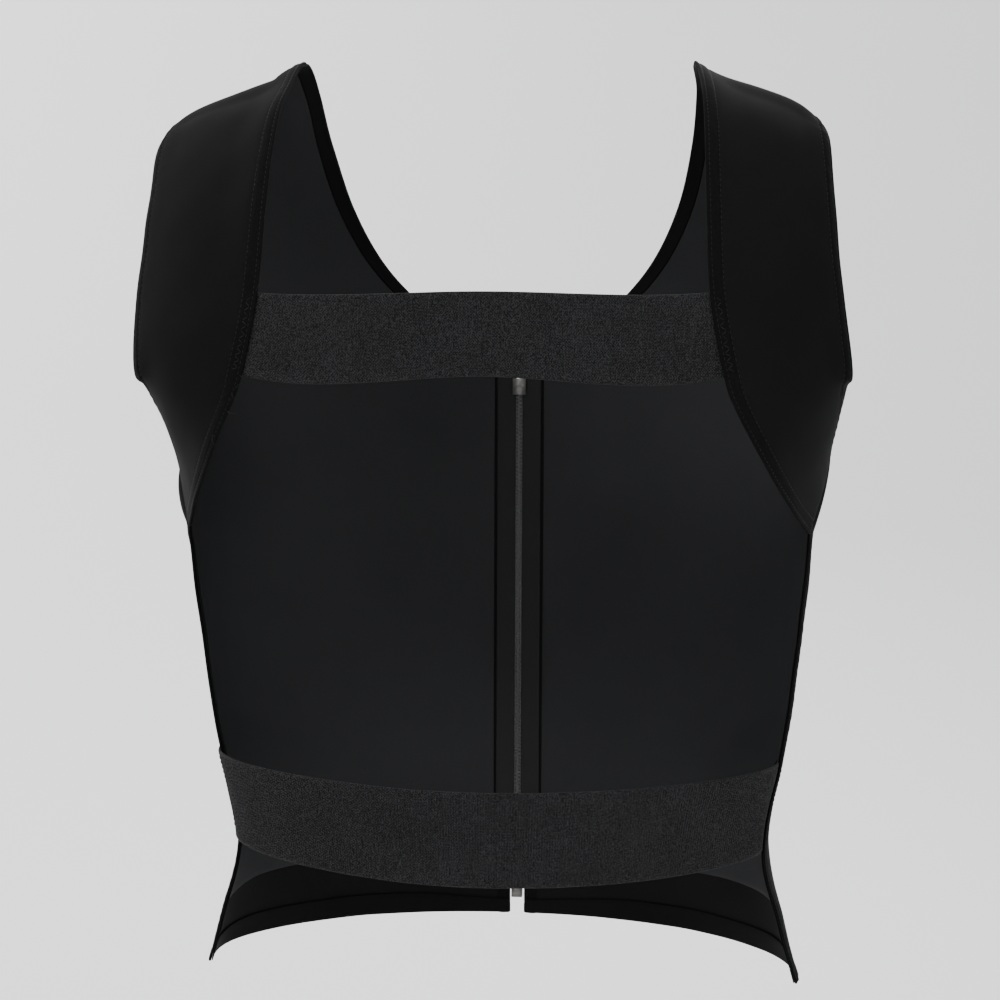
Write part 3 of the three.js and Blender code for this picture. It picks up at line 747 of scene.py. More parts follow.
class Shader:
    """A small helper that wires one Principled material.

    Args:
        name: The material's name.
    """

    def __init__(self, name: str) -> None:
        self.material = bpy.data.materials.new(name)
        self.material.use_nodes = True
        self.tree = self.material.node_tree
        self.bsdf = self.tree.nodes["Principled BSDF"]

    def node(self, kind: str, **values: object) -> bpy.types.Node:
        """A new node with its sockets or properties set."""
        made = self.tree.nodes.new(kind)
        for key, value in values.items():
            if key in made.inputs:
                made.inputs[key].default_value = value
            else:
                setattr(made, key, value)
        return made

    def link(self, source: bpy.types.NodeSocket, target: bpy.types.NodeSocket) -> None:
        """Joins two sockets."""
        self.tree.links.new(source, target)

    def math(self, operation: str, a: object, b: object = 0.0) -> bpy.types.NodeSocket:
        """One sum of two sockets or numbers."""
        made = self.node("ShaderNodeMath", operation=operation)
        for slot, value in zip(made.inputs, (a, b)):
            if isinstance(value, bpy.types.NodeSocket):
                self.link(value, slot)
            else:
                slot.default_value = value
        return made.outputs[0]

    def noise(self, scale: float, detail: float, stretch: Vector = Vector((1, 1, 1))) -> bpy.types.NodeSocket:
        """Noise in the object's own space.

        Args:
            scale: How many grains there are to a metre.
            detail: How many finer layers it has.
            stretch: Scale along each axis.

        Returns:
            The noise's value.
        """
        place = self.node("ShaderNodeTexCoord").outputs["Object"]
        mapping = self.node("ShaderNodeMapping")
        mapping.inputs["Scale"].default_value = stretch
        self.link(place, mapping.inputs["Vector"])
        made = self.node("ShaderNodeTexNoise", Scale=scale, Detail=detail)
        self.link(mapping.outputs[0], made.inputs["Vector"])
        return made.outputs["Fac"]

    def weave(self, pitch: float) -> bpy.types.NodeSocket:
        """Crossed threads, pitch metres apart, as a height from 0 to 1."""
        place = self.node("ShaderNodeTexCoord").outputs["Object"]
        split = self.node("ShaderNodeSeparateXYZ")
        self.link(place, split.inputs[0])
        turn = 2 * math.pi / pitch
        waves = []
        girth = self.math("ADD", split.outputs["X"], split.outputs["Y"])
        for source in (girth, split.outputs["Z"]):
            waves.append(self.math("SINE", self.math("MULTIPLY", source, turn)))
        return self.math("MULTIPLY_ADD", self.math("MULTIPLY", waves[0], waves[1]), 0.5)

    def colour(self, height: bpy.types.NodeSocket, stops: Sequence[tuple[float, Colour]]) -> None:
        """Colours the surface by a value between 0 and 1.

        Args:
            height: The value.
            stops: Places on the way from 0 to 1, each with its colour.
        """
        made = self.node("ShaderNodeValToRGB")
        ramp_stops = made.color_ramp.elements
        for k, (place, rgb) in enumerate(stops):
            stop = ramp_stops[k] if k < 2 else ramp_stops.new(place)
            stop.position = place
            stop.color = (*rgb, 1)
        self.link(height, made.inputs[0])
        self.link(made.outputs[0], self.bsdf.inputs["Base Color"])

    def bump(self, height: bpy.types.NodeSocket, distance: float, strength: float = 1.0) -> None:
        """Adds fine relief under any that is there already."""
        made = self.node("ShaderNodeBump", Strength=strength, Distance=distance)
        self.link(height, made.inputs["Height"])
        old = self.bsdf.inputs["Normal"]
        if old.is_linked:
            self.link(old.links[0].from_socket, made.inputs["Normal"])
        self.link(made.outputs[0], old)

    def between(self, height: bpy.types.NodeSocket, low: float, high: float) -> bpy.types.NodeSocket:
        """Maps a value from 0..1 to low..high."""
        made = self.node("ShaderNodeMapRange")
        made.inputs["To Min"].default_value = low
        made.inputs["To Max"].default_value = high
        self.link(height, made.inputs["Value"])
        return made.outputs[0]


@dataclass(frozen=True)
class ClothFinish:
    """Woven black cloth.

    Args:
        slot: The record's material slot.
        dark: Darkest colour.
        light: Lightest colour, on worn or brushed places.
        rough: Roughness, low and high.
        pitch: Thread spacing, in metres.
        relief: Height of the weave, in metres.
        sheen: How much soft fuzz catches the light.
        gloss: How strongly the threads mirror light.
        hems_grain_and_painted_shade: Whether the hems are grainier and darkened with painted shade where the
            cloth is folded and stitched.
        hem_painted_shade: How much darker the painted shade makes the hems.
    """

    slot: str
    dark: Colour
    light: Colour
    rough: tuple[float, float] = (0.5, 0.62)
    pitch: float = 0.0009
    relief: float = 0.00006
    sheen: float = 0.003
    gloss: float = 0.2
    hems_grain_and_painted_shade: bool = False
    hem_painted_shade: float = 0.72

    def make(self) -> bpy.types.Material:
        """Builds the material."""
        shader = Shader(self.slot)
        patchy = shader.noise(9, 5)
        fine = shader.noise(900, 2)
        weave = shader.weave(self.pitch)
        tone = shader.math("ADD", shader.math("MULTIPLY", patchy, 0.6), shader.math("MULTIPLY", fine, 0.4))
        # Hems: a grainier relief, and painted shade that darkens the folded, stitched cloth
        if self.hems_grain_and_painted_shade:
            hem = shader.node("ShaderNodeAttribute", attribute_name="hem").outputs["Fac"]
            grain_and_painted_shade = shader.math("SUBTRACT", shader.noise(1500, 1), self.hem_painted_shade)
            tone = shader.math("ADD", tone, shader.math("MULTIPLY", hem, grain_and_painted_shade))
            shader.bump(shader.math("MULTIPLY", hem, shader.noise(1100, 1)), 0.00035, 0.8)
        shader.colour(tone, [(0.25, self.dark), (0.75, self.light)])
        shader.link(shader.between(patchy, *self.rough), shader.bsdf.inputs["Roughness"])
        shader.bump(weave, self.relief, 0.6)
        shader.bump(fine, self.relief * 1.5, 0.35)
        shader.bsdf.inputs["Sheen Weight"].default_value = self.sheen
        shader.bsdf.inputs["Sheen Roughness"].default_value = 0.45
        shader.bsdf.inputs["Specular IOR Level"].default_value = self.gloss
        return shader.material


@dataclass(frozen=True)
class ElasticFinish:
    """Woven elastic: covered rubber threads with a speckled, slightly dusty face."""

    slot: str = "elastic_webbing"
    dark: Colour = (0.0003, 0.0003, 0.0004)
    light: Colour = (0.024, 0.024, 0.0255)

    def make(self) -> bpy.types.Material:
        """Builds the material."""
        shader = Shader(self.slot)
        speckle = shader.noise(1500, 1, Vector((1, 1, 0.75)))
        cloudy = shader.noise(30, 4)
        weave = shader.weave(0.0018)
        speckled, clouded = shader.math("MULTIPLY", speckle, 0.75), shader.math("MULTIPLY", cloudy, 0.1)
        tone = shader.math("ADD", speckled, clouded)
        tone = shader.math("ADD", tone, shader.math("MULTIPLY", weave, 0.15))
        shader.colour(tone, [(0.44, self.dark), (0.6, self.light)])
        shader.bump(weave, 0.00014, 0.8)
        shader.bump(speckle, 0.00012, 0.6)
        shader.link(shader.between(cloudy, 0.72, 0.86), shader.bsdf.inputs["Roughness"])
        shader.bsdf.inputs["Sheen Weight"].default_value = 0.01
        shader.bsdf.inputs["Sheen Roughness"].default_value = 0.5
        shader.bsdf.inputs["Specular IOR Level"].default_value = 0.15
        return shader.material


@dataclass(frozen=True)
class HardFinish:
    """Black plastic or enamelled metal, worn paler along its edges.

    Args:
        slot: The record's material slot.
        dark: The unworn colour.
        worn: The colour along rubbed edges.
        rough: Roughness, low and high.
        metallic: 1 for bare metal, 0 for plastic.
    """

    slot: str
    dark: Colour
    worn: Colour
    rough: tuple[float, float]
    metallic: float = 0.0

    def make(self) -> bpy.types.Material:
        """Builds the material."""
        shader = Shader(self.slot)
        edge = shader.node("ShaderNodeNewGeometry").outputs["Pointiness"]
        rubbed = shader.math("ADD", edge, shader.math("MULTIPLY", shader.noise(600, 4), 0.06))
        shader.colour(rubbed, [(0.56, self.dark), (0.68, self.worn)])
        scuffs = shader.noise(300, 5)
        shader.link(shader.between(scuffs, *self.rough), shader.bsdf.inputs["Roughness"])
        shader.bump(shader.noise(2500, 2), 0.00002, 0.4)
        shader.bsdf.inputs["Metallic"].default_value = self.metallic
        return shader.material


# The shell; its hems are darkened with painted shade
SHELL = ClothFinish("shell_fabric", (0.0024, 0.0024, 0.0026), (0.0066, 0.0066, 0.0071), (0.75, 0.88),
                    gloss=0.06, hems_grain_and_painted_shade=True)
LINING = ClothFinish("lining_fabric", (0.008, 0.0083, 0.009), (0.016, 0.0163, 0.0175), (0.6, 0.75),
                     0.0006, 0.00004, gloss=0.12)
# The shell's own cloth in a darker tone: painted shade on the turned-in facings and band patches
HEM = ClothFinish("hem_fabric", (0.0018, 0.0018, 0.0019), (0.0052, 0.0052, 0.0056), (0.75, 0.88), gloss=0.06)
TAPE = ClothFinish("zip_tape", (0.003, 0.003, 0.0032), (0.008, 0.008, 0.0085), (0.65, 0.8), 0.0007, 0.0001)
THREAD = ClothFinish("thread", (0.0024, 0.0024, 0.0026), (0.0058, 0.0058, 0.0062), (0.5, 0.6),
                     0.0004, 0.00003, 0.004, 0.2)
ELASTIC = ElasticFinish()
TEETH = HardFinish("zip_teeth", (0.012, 0.012, 0.013), (0.035, 0.035, 0.037), (0.3, 0.45))
METAL = HardFinish("zip_metal", (0.016, 0.016, 0.017), (0.12, 0.117, 0.112), (0.3, 0.5), 0.6)


class Wardrobe:
    """Every finish, made once."""

    def __init__(self) -> None:
        finishes = (SHELL, LINING, HEM, TAPE, THREAD, ELASTIC, TEETH, METAL)
        self.made = {finish.slot: finish.make() for finish in finishes}

    def dress(self, thing: bpy.types.Object, finish: str, slot: Optional[str] = None) -> bpy.types.Object:
        """Gives a piece its finish.

        Args:
            thing: The piece.
            finish: The finish's name.
            slot: The record's slot that it follows, if that isn't the finish's own; not used.

        Returns:
            The piece.
        """
        thing.data.materials.clear()
        thing.data.materials.append(self.made[finish])
        return thing

    def thread(self, name: str, rows: Sequence[bpy.types.Object]) -> bpy.types.Object:
        """Joins rows of stitches into one piece that rides the vest.

        Args:
            name: The piece's name.
            rows: The rows.

        Returns:
            The piece.
        """
        thing = joined(name, rows)
        thing.data.shade_smooth()
        self.dress(thing, "thread", "hem_fabric")
        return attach(thing, "vest")


# ---------------------------------------------------------------- cloth pieces


def seam_relief(distance: np.ndarray) -> np.ndarray:
    """The groove and soft rise of a closed seam, at a distance from it."""
    return -0.8 * bell(distance, 1.6) + 0.15 * bell(distance - 5, 2.5)


@dataclass(frozen=True)
class Hems:
    """What sewing leaves in an outer face: hems on both long edges and a seam on the first row.

    Args:
        last_seam: Whether the last row is a seam too, and not a hem.
        edge_row: Distance of the outer row of stitches from the edge.
        inner_row: Distance of the inner row.
        edge_groove: How deep the outer row pulls the cloth in.
        inner_groove: How deep the inner row does.
        fold_rise: How much the doubled cloth stands up.
        pucker_pitch: Distance from one pucker to the next.
        pucker: Height of the puckers in the hem.
        pucker_past: Height of the puckers just past it.
        bottom_row: Distance of the bottom hem's stitches from the bottom edge.
        seam_middle: The station halfway down the side seam, where a hemmed bottom has no outer hem.
        far: A distance past any hem.
    """

    last_seam: bool
    edge_row: float = 1.9
    inner_row: float = 8.6
    edge_groove: float = 0.45
    inner_groove: float = 0.7
    fold_rise: float = 0.45
    pucker_pitch: float = 8.5
    pucker: float = 0.16
    pucker_past: float = 0.1
    bottom_row: float = 7.5
    seam_middle: float = 8.0
    far: float = 99.0

    def _hem(self, distance: np.ndarray, run: np.ndarray, places: np.ndarray) -> np.ndarray:
        """Relief of one hem.

        Args:
            distance: How far each place is from the hem's edge.
            run: Running length down each column.
            places: The places.

        Returns:
            How far each place stands out.
        """
        at_edge = -self.edge_groove * bell(distance - self.edge_row, 0.8)
        rows = at_edge - self.inner_groove * bell(distance - self.inner_row, 1.0)
        turned = self.fold_rise * (1 - ramp(distance, self.inner_row, self.inner_row + 1.8))
        wobble = np.sin(run * (2 * math.pi / self.pucker_pitch) + 2.5 * ripple(places, 40, 5))
        within, past = bell(distance - 5.2, 3.4), bell(distance - 12, 4)
        return rows + turned + (self.pucker * wobble * within + self.pucker_past * wobble * past)

    def mark(self, patch: Patch) -> np.ndarray:
        """How far each place belongs to a hem, from 0 to 1."""
        if self.last_seam:
            near = np.minimum(patch.inner, patch.outer)
        else:
            seam = np.abs(patch.stations[:, None] - self.seam_middle) < 1
            run = patch.along()
            near = np.minimum(patch.inner, np.where(seam, self.far, patch.outer))
            near = np.minimum(near, run[-1:] - run + 1)
        return 1 - ramp(near, self.inner_row - 0.3, self.inner_row + 0.4)

    def relief(self, patch: Patch) -> np.ndarray:
        """How far each place of the outer face stands out, in millimetres."""
        run = patch.along()
        below = run[-1:] - run
        total = self._hem(patch.inner, run, patch.places) + self._hem(patch.outer, run, patch.places)
        total = total + seam_relief(run)
        if self.last_seam:
            return total + seam_relief(below)
        doubled = 1 - ramp(below, self.bottom_row, self.bottom_row + 2)
        return total - 0.4 * bell(below - self.bottom_row, 0.9) + 0.25 * doubled


def hem_columns(middle: int, hem: int = 12) -> np.ndarray:
    """Column numbers across a whole panel, close together in the hems.

    Args:
        middle: Steps between the hems.
        hem: Steps across each hem.

    Returns:
        The column numbers, in order.
    """
    beside = steps(0, 0.06, 3)
    runs = [steps(0, 1, hem), 1 + beside, steps(1.06, 1.94, middle), 2 - beside, steps(2, 3, hem)]
    return np.unique(np.round(np.concatenate(runs), 6))


# How finely a row of stitches reads the panel, and how far beside it, in columns, the cloth's lean is read
ROWS_PER_STATION = 14
FEWEST_ROWS = 8
BESIDE = 0.03


@dataclass
class ClothPanel:
    """One panel of one side with all its layers.

    Args:
        pattern: The vest's cut.
        side: Which side.
        wardrobe: The finishes.
    """

    pattern: VestPattern
    side: Side
    wardrobe: Wardrobe

    def _stretch(self, panel: Panel, span: tuple[float, float], columns: np.ndarray, rows: int) -> Patch:
        """A stretch of the panel between two stations."""
        return panel.patch(self.side, steps(*span, rows), columns)

    def layer(self, panel: Panel, node: str, span: tuple[float, float], columns: np.ndarray, rows: int,
              depth: tuple[float, float], finish: str, held: str, rims: Rims = Rims(),
              relief: Optional[Callable[[Patch], np.ndarray]] = None,
              hems: Optional[Hems] = None) -> bpy.types.Object:
        """Makes one layer of cloth, in place of its plain solid.

        Args:
            panel: The surface it follows.
            node: Name of the solid it stands for, without its side.
            span: First and last station.
            columns: Column numbers across it.
            rows: Steps between the stations.
            depth: Depths of its outer and inner faces.
            finish: Its finish.
            held: How the cloth is held; not used.
            rims: How round its rims are.
            relief: Extra height of its outer face.
            hems: The hems its finish shows.

        Returns:
            The piece.
        """
        patch = self._stretch(panel, span, columns, rows)
        lift = 0.0 if relief is None else relief(patch)
        name = f"{node}_{self.side.label}"
        outer, inner = patch.at_depth(depth[0] - lift), patch.at_depth(depth[1])
        mark = None if hems is None else hems.mark(patch)
        thing = sheet_mesh(f"cloth_{name}", outer, inner, rims, mark=mark)
        self.wardrobe.dress(thing, finish)
        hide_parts(name)
        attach(thing, "vest")
        width, length, area = patch.flat_size()
        narrow, long = min(width, length), max(width, length)
        if narrow < NARROWEST_SHEET:
            LOG.warning("%s: %.2f mm wide, declared as %.2f mm, the least a sheet may be", thing.name,
                        narrow / MM, NARROWEST_SHEET / MM)
        LOG.info("%s: cut %.2f x %.2f mm, %.2f square centimetres", thing.name,
                 narrow / MM, long / MM, area * 1e4)
        return thing

    def folds(self, panel: Panel, rows: Sequence[tuple[str, tuple[float, float], np.ndarray, int]]) -> None:
        """Makes the turned-in strips of cloth behind the shell's edges.

        Args:
            panel: The surface they follow.
            rows: For each its node, first and last station, columns, and steps between the stations.
        """
        for node, span, columns, count in rows:
            self.layer(panel, node, span, columns, count, LINING_SPAN, "hem_fabric", "folded")

    def sew(self, panel: Panel, name: str, rows: Sequence[tuple[tuple[float, float], float, float]],
            thread: Stitching = Stitching()) -> bpy.types.Object:
        """Sews rows of stitches on the outer face and joins them into one piece.

        Args:
            panel: The surface they lie on.
            name: The piece's name, without its side.
            rows: For each row its stations, its column, and its depth below the smooth face.
            thread: The kind of stitch.

        Returns:
            The piece.
        """
        made = []
        for k, (span, column, depth) in enumerate(rows):
            count = max(int(abs(span[1] - span[0]) * ROWS_PER_STATION), FEWEST_ROWS)
            patch = self._stretch(panel, span, np.array([column, column + BESIDE]), count)
            made.append(thread.along(f"row_{k}", patch.at_depth(depth)[:, 0], patch.normals[:, 0]))
        return self.wardrobe.thread(f"{name}_{self.side.label}", made)


INNER_FOLD = steps(0.02, 0.97, 5)
OUTER_FOLD = steps(2.03, 2.98, 5)
STITCH_ROWS = ((0.19, 0.2), (0.86, 0.3))
OUTER_STITCH_ROWS = ((2.81, 0.2), (2.14, 0.3))


def twin_rows(*runs: tuple[tuple[float, float], tuple]) -> list[tuple[tuple[float, float], float, float]]:
    """The two rows of stitches along each hem.

    Args:
        runs: For each hem its first and last station, and the column and depth of each row.

    Returns:
        Every row's stations, column and depth.
    """
    return [(span, column, depth) for span, rows in runs for column, depth in rows]


@dataclass
class BackPanel(ClothPanel):
    """The shoulder panel of the back: shell, lining, facings and their stitching."""

    def make(self) -> None:
        """Builds every layer and its stitching."""
        cut, panel = self.pattern, self.pattern.back_panel()
        end = float(cut.SIDE_SEAM)
        hems = Hems(last_seam=True)
        self.layer(panel, "back_shell", (SHELL_START, end - 0.009), hem_columns(26), 110, (0, SHELL_WALL),
                   "shell_fabric", "hung", Rims(top=0, bottom=0), hems.relief, hems)
        self.layer(panel, "back_lining", (LAYER_START, end - 0.03), steps(1.02, 1.98, 22), 70, LINING_SPAN,
                   "lining_fabric", "hung")
        self.folds(panel, (
            ("back_neck_facing", (LAYER_START, cut.BAND_TOP - 0.004), INNER_FOLD, 60),
            ("back_lower_facing", (cut.BAND_END + 0.01, end - 0.03), INNER_FOLD, 60),
            ("back_armhole_facing", (LAYER_START, end - 0.05), OUTER_FOLD, 100),
        ))
        self.layer(panel, "upper_band_patch", (cut.BAND_TOP + 0.02, cut.BAND_END - 0.02),
                   steps(0.03, 0.97, 5), 16, PATCH_SPAN, "hem_fabric", "folded")
        whole = (0.03, end - 0.05)
        self.sew(panel, "stitches_back", twin_rows((whole, STITCH_ROWS), (whole, OUTER_STITCH_ROWS)))
        self._tack(panel)

    def _tack(self, panel: Panel, count: int = 17, low: float = 0.26, high: float = 0.62) -> None:
        """Sews the zigzag through the panel's hem that holds the band's end.

        Args:
            panel: The surface it lies on.
            count: How many strokes it has.
            low: Column of its turns nearest the edge.
            high: Column of its other turns.
        """
        stations = steps(self.pattern.BAND_TOP + 0.05, self.pattern.BAND_END - 0.05, count)
        stroke = Stitching(length=4.2, gap=0.2)
        made = []
        for k in range(count):
            patch = panel.patch(self.side, stations[k:k + 2], np.array([low, high]))
            ends = patch.at_depth(-0.25)
            first, last = (ends[0, 0], ends[1, 1]) if k % 2 == 0 else (ends[0, 1], ends[1, 0])
            line = np.linspace(first, last, 6)
            made.append(stroke.along(f"tack_{k}", line, np.repeat(patch.normals[:1, 0], 6, axis=0)))
        self.wardrobe.thread(f"band_tack_{self.side.label}", made)


@dataclass
class FrontPanel(ClothPanel):
    """The front panel: shell, lining, facings, bottom hem, zip tape and stitching."""

    def make(self) -> None:
        """Builds every layer and its stitching."""
        cut, panel = self.pattern, self.pattern.front_panel()
        end = float(cut.HEM)
        hems = Hems(last_seam=False)
        self.layer(panel, "front_shell", (SHELL_START, end), hem_columns(52), 210, (0, SHELL_WALL),
                   "shell_fabric", "hung", Rims(top=0), self._relief(hems), hems)
        self.layer(panel, "front_lining", (LAYER_START, cut.LINING_END), steps(1.01, 1.99, 44), 150,
                   LINING_SPAN, "lining_fabric", "hung")
        self.folds(panel, (
            ("front_neck_facing", (LAYER_START, cut.CENTRE_TOP - 0.02), INNER_FOLD, 90),
            ("front_armhole_facing", (LAYER_START, cut.SIDE_CORNER - 0.02), steps(2.03, 2.93, 5), 100),
            ("side_facing_upper", (cut.SIDE_CORNER + 0.01, cut.LOWER_TOP - 0.004), OUTER_FOLD, 60),
            ("side_facing_lower", (cut.LOWER_END + 0.004, cut.HEM_LINE - 0.02), OUTER_FOLD, 40),
            ("bottom_hem", (cut.HEM_LINE + 0.02, end - 0.02), steps(0.02, 2.98, 90), 5),
        ))
        self.layer(panel, "zip_tape", (cut.CENTRE_TOP + 0.01, cut.HEM_LINE - 0.4), steps(-0.34, 0.97, 8), 120,
                   LINING_SPAN, "zip_tape", "stretched")
        over = self.side is Side.LEFT
        self.layer(panel, "lower_band_patch", (cut.LOWER_TOP + 0.02, cut.LOWER_END - 0.02),
                   steps(2.03, 2.97, 5), 16, LINING_SPAN if over else PATCH_SPAN, "hem_fabric", "folded")
        self.sew(panel, "stitches_front", twin_rows(
            ((0.03, cut.CENTRE_TOP), STITCH_ROWS), ((cut.CENTRE_TOP, end - 0.2), STITCH_ROWS),
            ((0.03, 6.95), OUTER_STITCH_ROWS), ((cut.SIDE_CORNER + 0.06, end - 0.2), OUTER_STITCH_ROWS)))
        depth = -LAYER_GAP - BAND_WALL - 0.4 if over else -0.25
        held = (cut.LOWER_TOP + 0.06, cut.LOWER_END - 0.06)
        self.sew(panel, "stitches_lower_band", [(held, 2.3, depth), (held, 2.66, depth)])
        self._hem_row(panel)

    def _relief(self, hems: Hems) -> Callable[[Patch], np.ndarray]:
        """Hem relief that turns into a plain seam between the underarm and the side corner."""
        def relief(patch: Patch) -> np.ndarray:
            """How far each place of the outer face stands out, in millimetres."""
            station = patch.stations[:, None]
            seam = ramp(station, 6.9, 7.0) * (1 - ramp(station, 9.0, 9.1))
            hemmed = hems.relief(patch)
            plain = seam_relief(patch.outer)
            near_edge = ramp(22 - patch.outer, 0, 8)
            return hemmed * (1 - seam * near_edge) + plain * seam * near_edge
        return relief

    def _hem_row(self, panel: Panel) -> None:
        """The row of stitches along the bottom hem."""
        station = self.pattern.HEM - 0.72
        patch = panel.patch(self.side, np.array([station, station + 0.05]), steps(0.15, 2.85, 160))
        name = f"stitches_bottom_{self.side.label}"
        thing = Stitching().along(name, patch.at_depth(0.3)[0], patch.normals[0])
        self.wardrobe.dress(thing, "thread", "hem_fabric")
        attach(thing, "vest")


# ---------------------------------------------------------------- elastic bands


@dataclass
class ElasticBand:
    """A woven elastic sewn at both ends, with fine ribs across it and flat selvages.

    Args:
        name: The node it stands for.
        panel: The panel that holds its ends.
        span: First and last station of its width.
        tucked: Column of its hidden end.
        edge: Column of the panel's edge it leaves.
        middle: Its centre line at the middle of the back, top and bottom.
        fullness: Heading lengths of the free stretch as shares of its chord.
        depths: Depth of its outer face at the right and left ends.
        wardrobe: The finishes.
        rib: Distance from one rib to the next.
        rib_height: Half a rib's height.
        per_rib: Columns to a rib.
        selvage: Width of the flat strip along each edge.
        rows: Steps across its width.
        tuck_points: Points along each hidden end.
        relaxed: Assumed length before it is stretched, as a share of the length worn.
    """

    name: str
    panel: Panel
    span: tuple[float, float]
    tucked: float
    edge: float
    middle: tuple[tuple[float, float, float], tuple[float, float, float]]
    fullness: tuple[float, float]
    depths: tuple[float, float]
    wardrobe: Wardrobe
    rib: float = 1.7
    rib_height: float = 0.24
    per_rib: int = 4
    selvage: float = 2.4
    rows: int = 26
    tuck_points: int = 29
    relaxed: float = 0.9

    def _half(self, side: Side) -> np.ndarray:
        """Line points of one half, from its hidden end to the middle."""
        stations = steps(self.span[0] + 0.005, self.span[1] - 0.005, self.rows)
        patch = self.panel.patch(side, stations, np.sort(np.array([self.tucked, self.edge])))
        at_edge = 1 if self.edge > self.tucked else 0
        hidden, start = patch.places[:, 1 - at_edge], patch.places[:, at_edge]
        share = np.linspace(0, 1, self.rows + 1)[:, None]
        centre = np.array(self.middle[0]) * (1 - share) + np.array(self.middle[1]) * share
        chord = np.linalg.norm(centre - start, axis=1, keepdims=True)
        heading = unit(start - hidden) * chord * self.fullness[0]
        across = np.array([-side.value, 0, 0]) * chord * self.fullness[1]
        t = np.linspace(0, 1, 400)[None, :, None]
        free = hermite(start[:, None], heading[:, None], centre[:, None], across[:, None], t)
        tuck = np.linspace(0, 1, self.tuck_points + 1)[None, :-1, None]
        inside = hidden[:, None] * (1 - tuck) + start[:, None] * tuck
        return np.concatenate([inside, free], axis=1)

    def make(self) -> bpy.types.Object:
        """Builds the band."""
        right, left = self._half(Side.RIGHT), self._half(Side.LEFT)
        lines = np.concatenate([right, left[:, -2::-1]], axis=1)
        run = np.concatenate([[0], np.cumsum(np.linalg.norm(np.diff(lines.mean(axis=0), axis=0), axis=1))])
        count = int(run[-1] / self.rib) * self.per_rib
        at = np.linspace(0, run[-1], count + 1)
        grid = np.stack([read_line(line, run, at) for line in lines])
        along = np.gradient(grid, axis=1)
        down = np.gradient(grid, axis=0)
        normals = unit(np.cross(along, down))
        tuck = np.linalg.norm(right[:, self.tuck_points] - right[:, 0], axis=1).mean()
        share = ramp(at, tuck, run[-1] - tuck)
        depth = self.depths[0] * (1 - share) + self.depths[1] * share
        width = np.linalg.norm(grid[-1] - grid[0], axis=1).mean()
        v = np.linspace(0, width, self.rows + 1)[:, None]
        bare = self.selvage * 0.7
        inside = ramp(v, bare, self.selvage) * (1 - ramp(v, width - self.selvage, width - bare))
        ribs = np.sin(2 * math.pi * at / self.rib)[None] * self.rib_height * inside
        uneven = 0.05 * ripple(grid, 22, 8) * inside
        selvage = 0.12 * (1 - inside)
        leaves, returns = ramp(at, tuck, tuck + 3), ramp(at, run[-1] - tuck - 3, run[-1] - tuck)
        free = (leaves * (1 - returns))[None]
        wave = (0.5 * ripple(grid, 120, 9) + 0.25 * ripple(grid, 34, 10)) * free
        lift = (ribs + uneven + selvage) * (0.35 + 0.65 * free)
        outer = grid - normals * (depth[None] - wave - lift)[..., None]
        inner = grid - normals * (depth[None] + BAND_WALL - wave + lift)[..., None]
        thing = sheet_mesh(f"woven_{self.name}", outer, inner, Rims())
        self.wardrobe.dress(thing, "elastic_webbing")
        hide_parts(self.name)
        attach(thing, "vest")
        LOG.info("%s: %.0f x %.0f mm relaxed", self.name, width, run[-1] * self.relaxed)
        return thing


# ---------------------------------------------------------------- zip


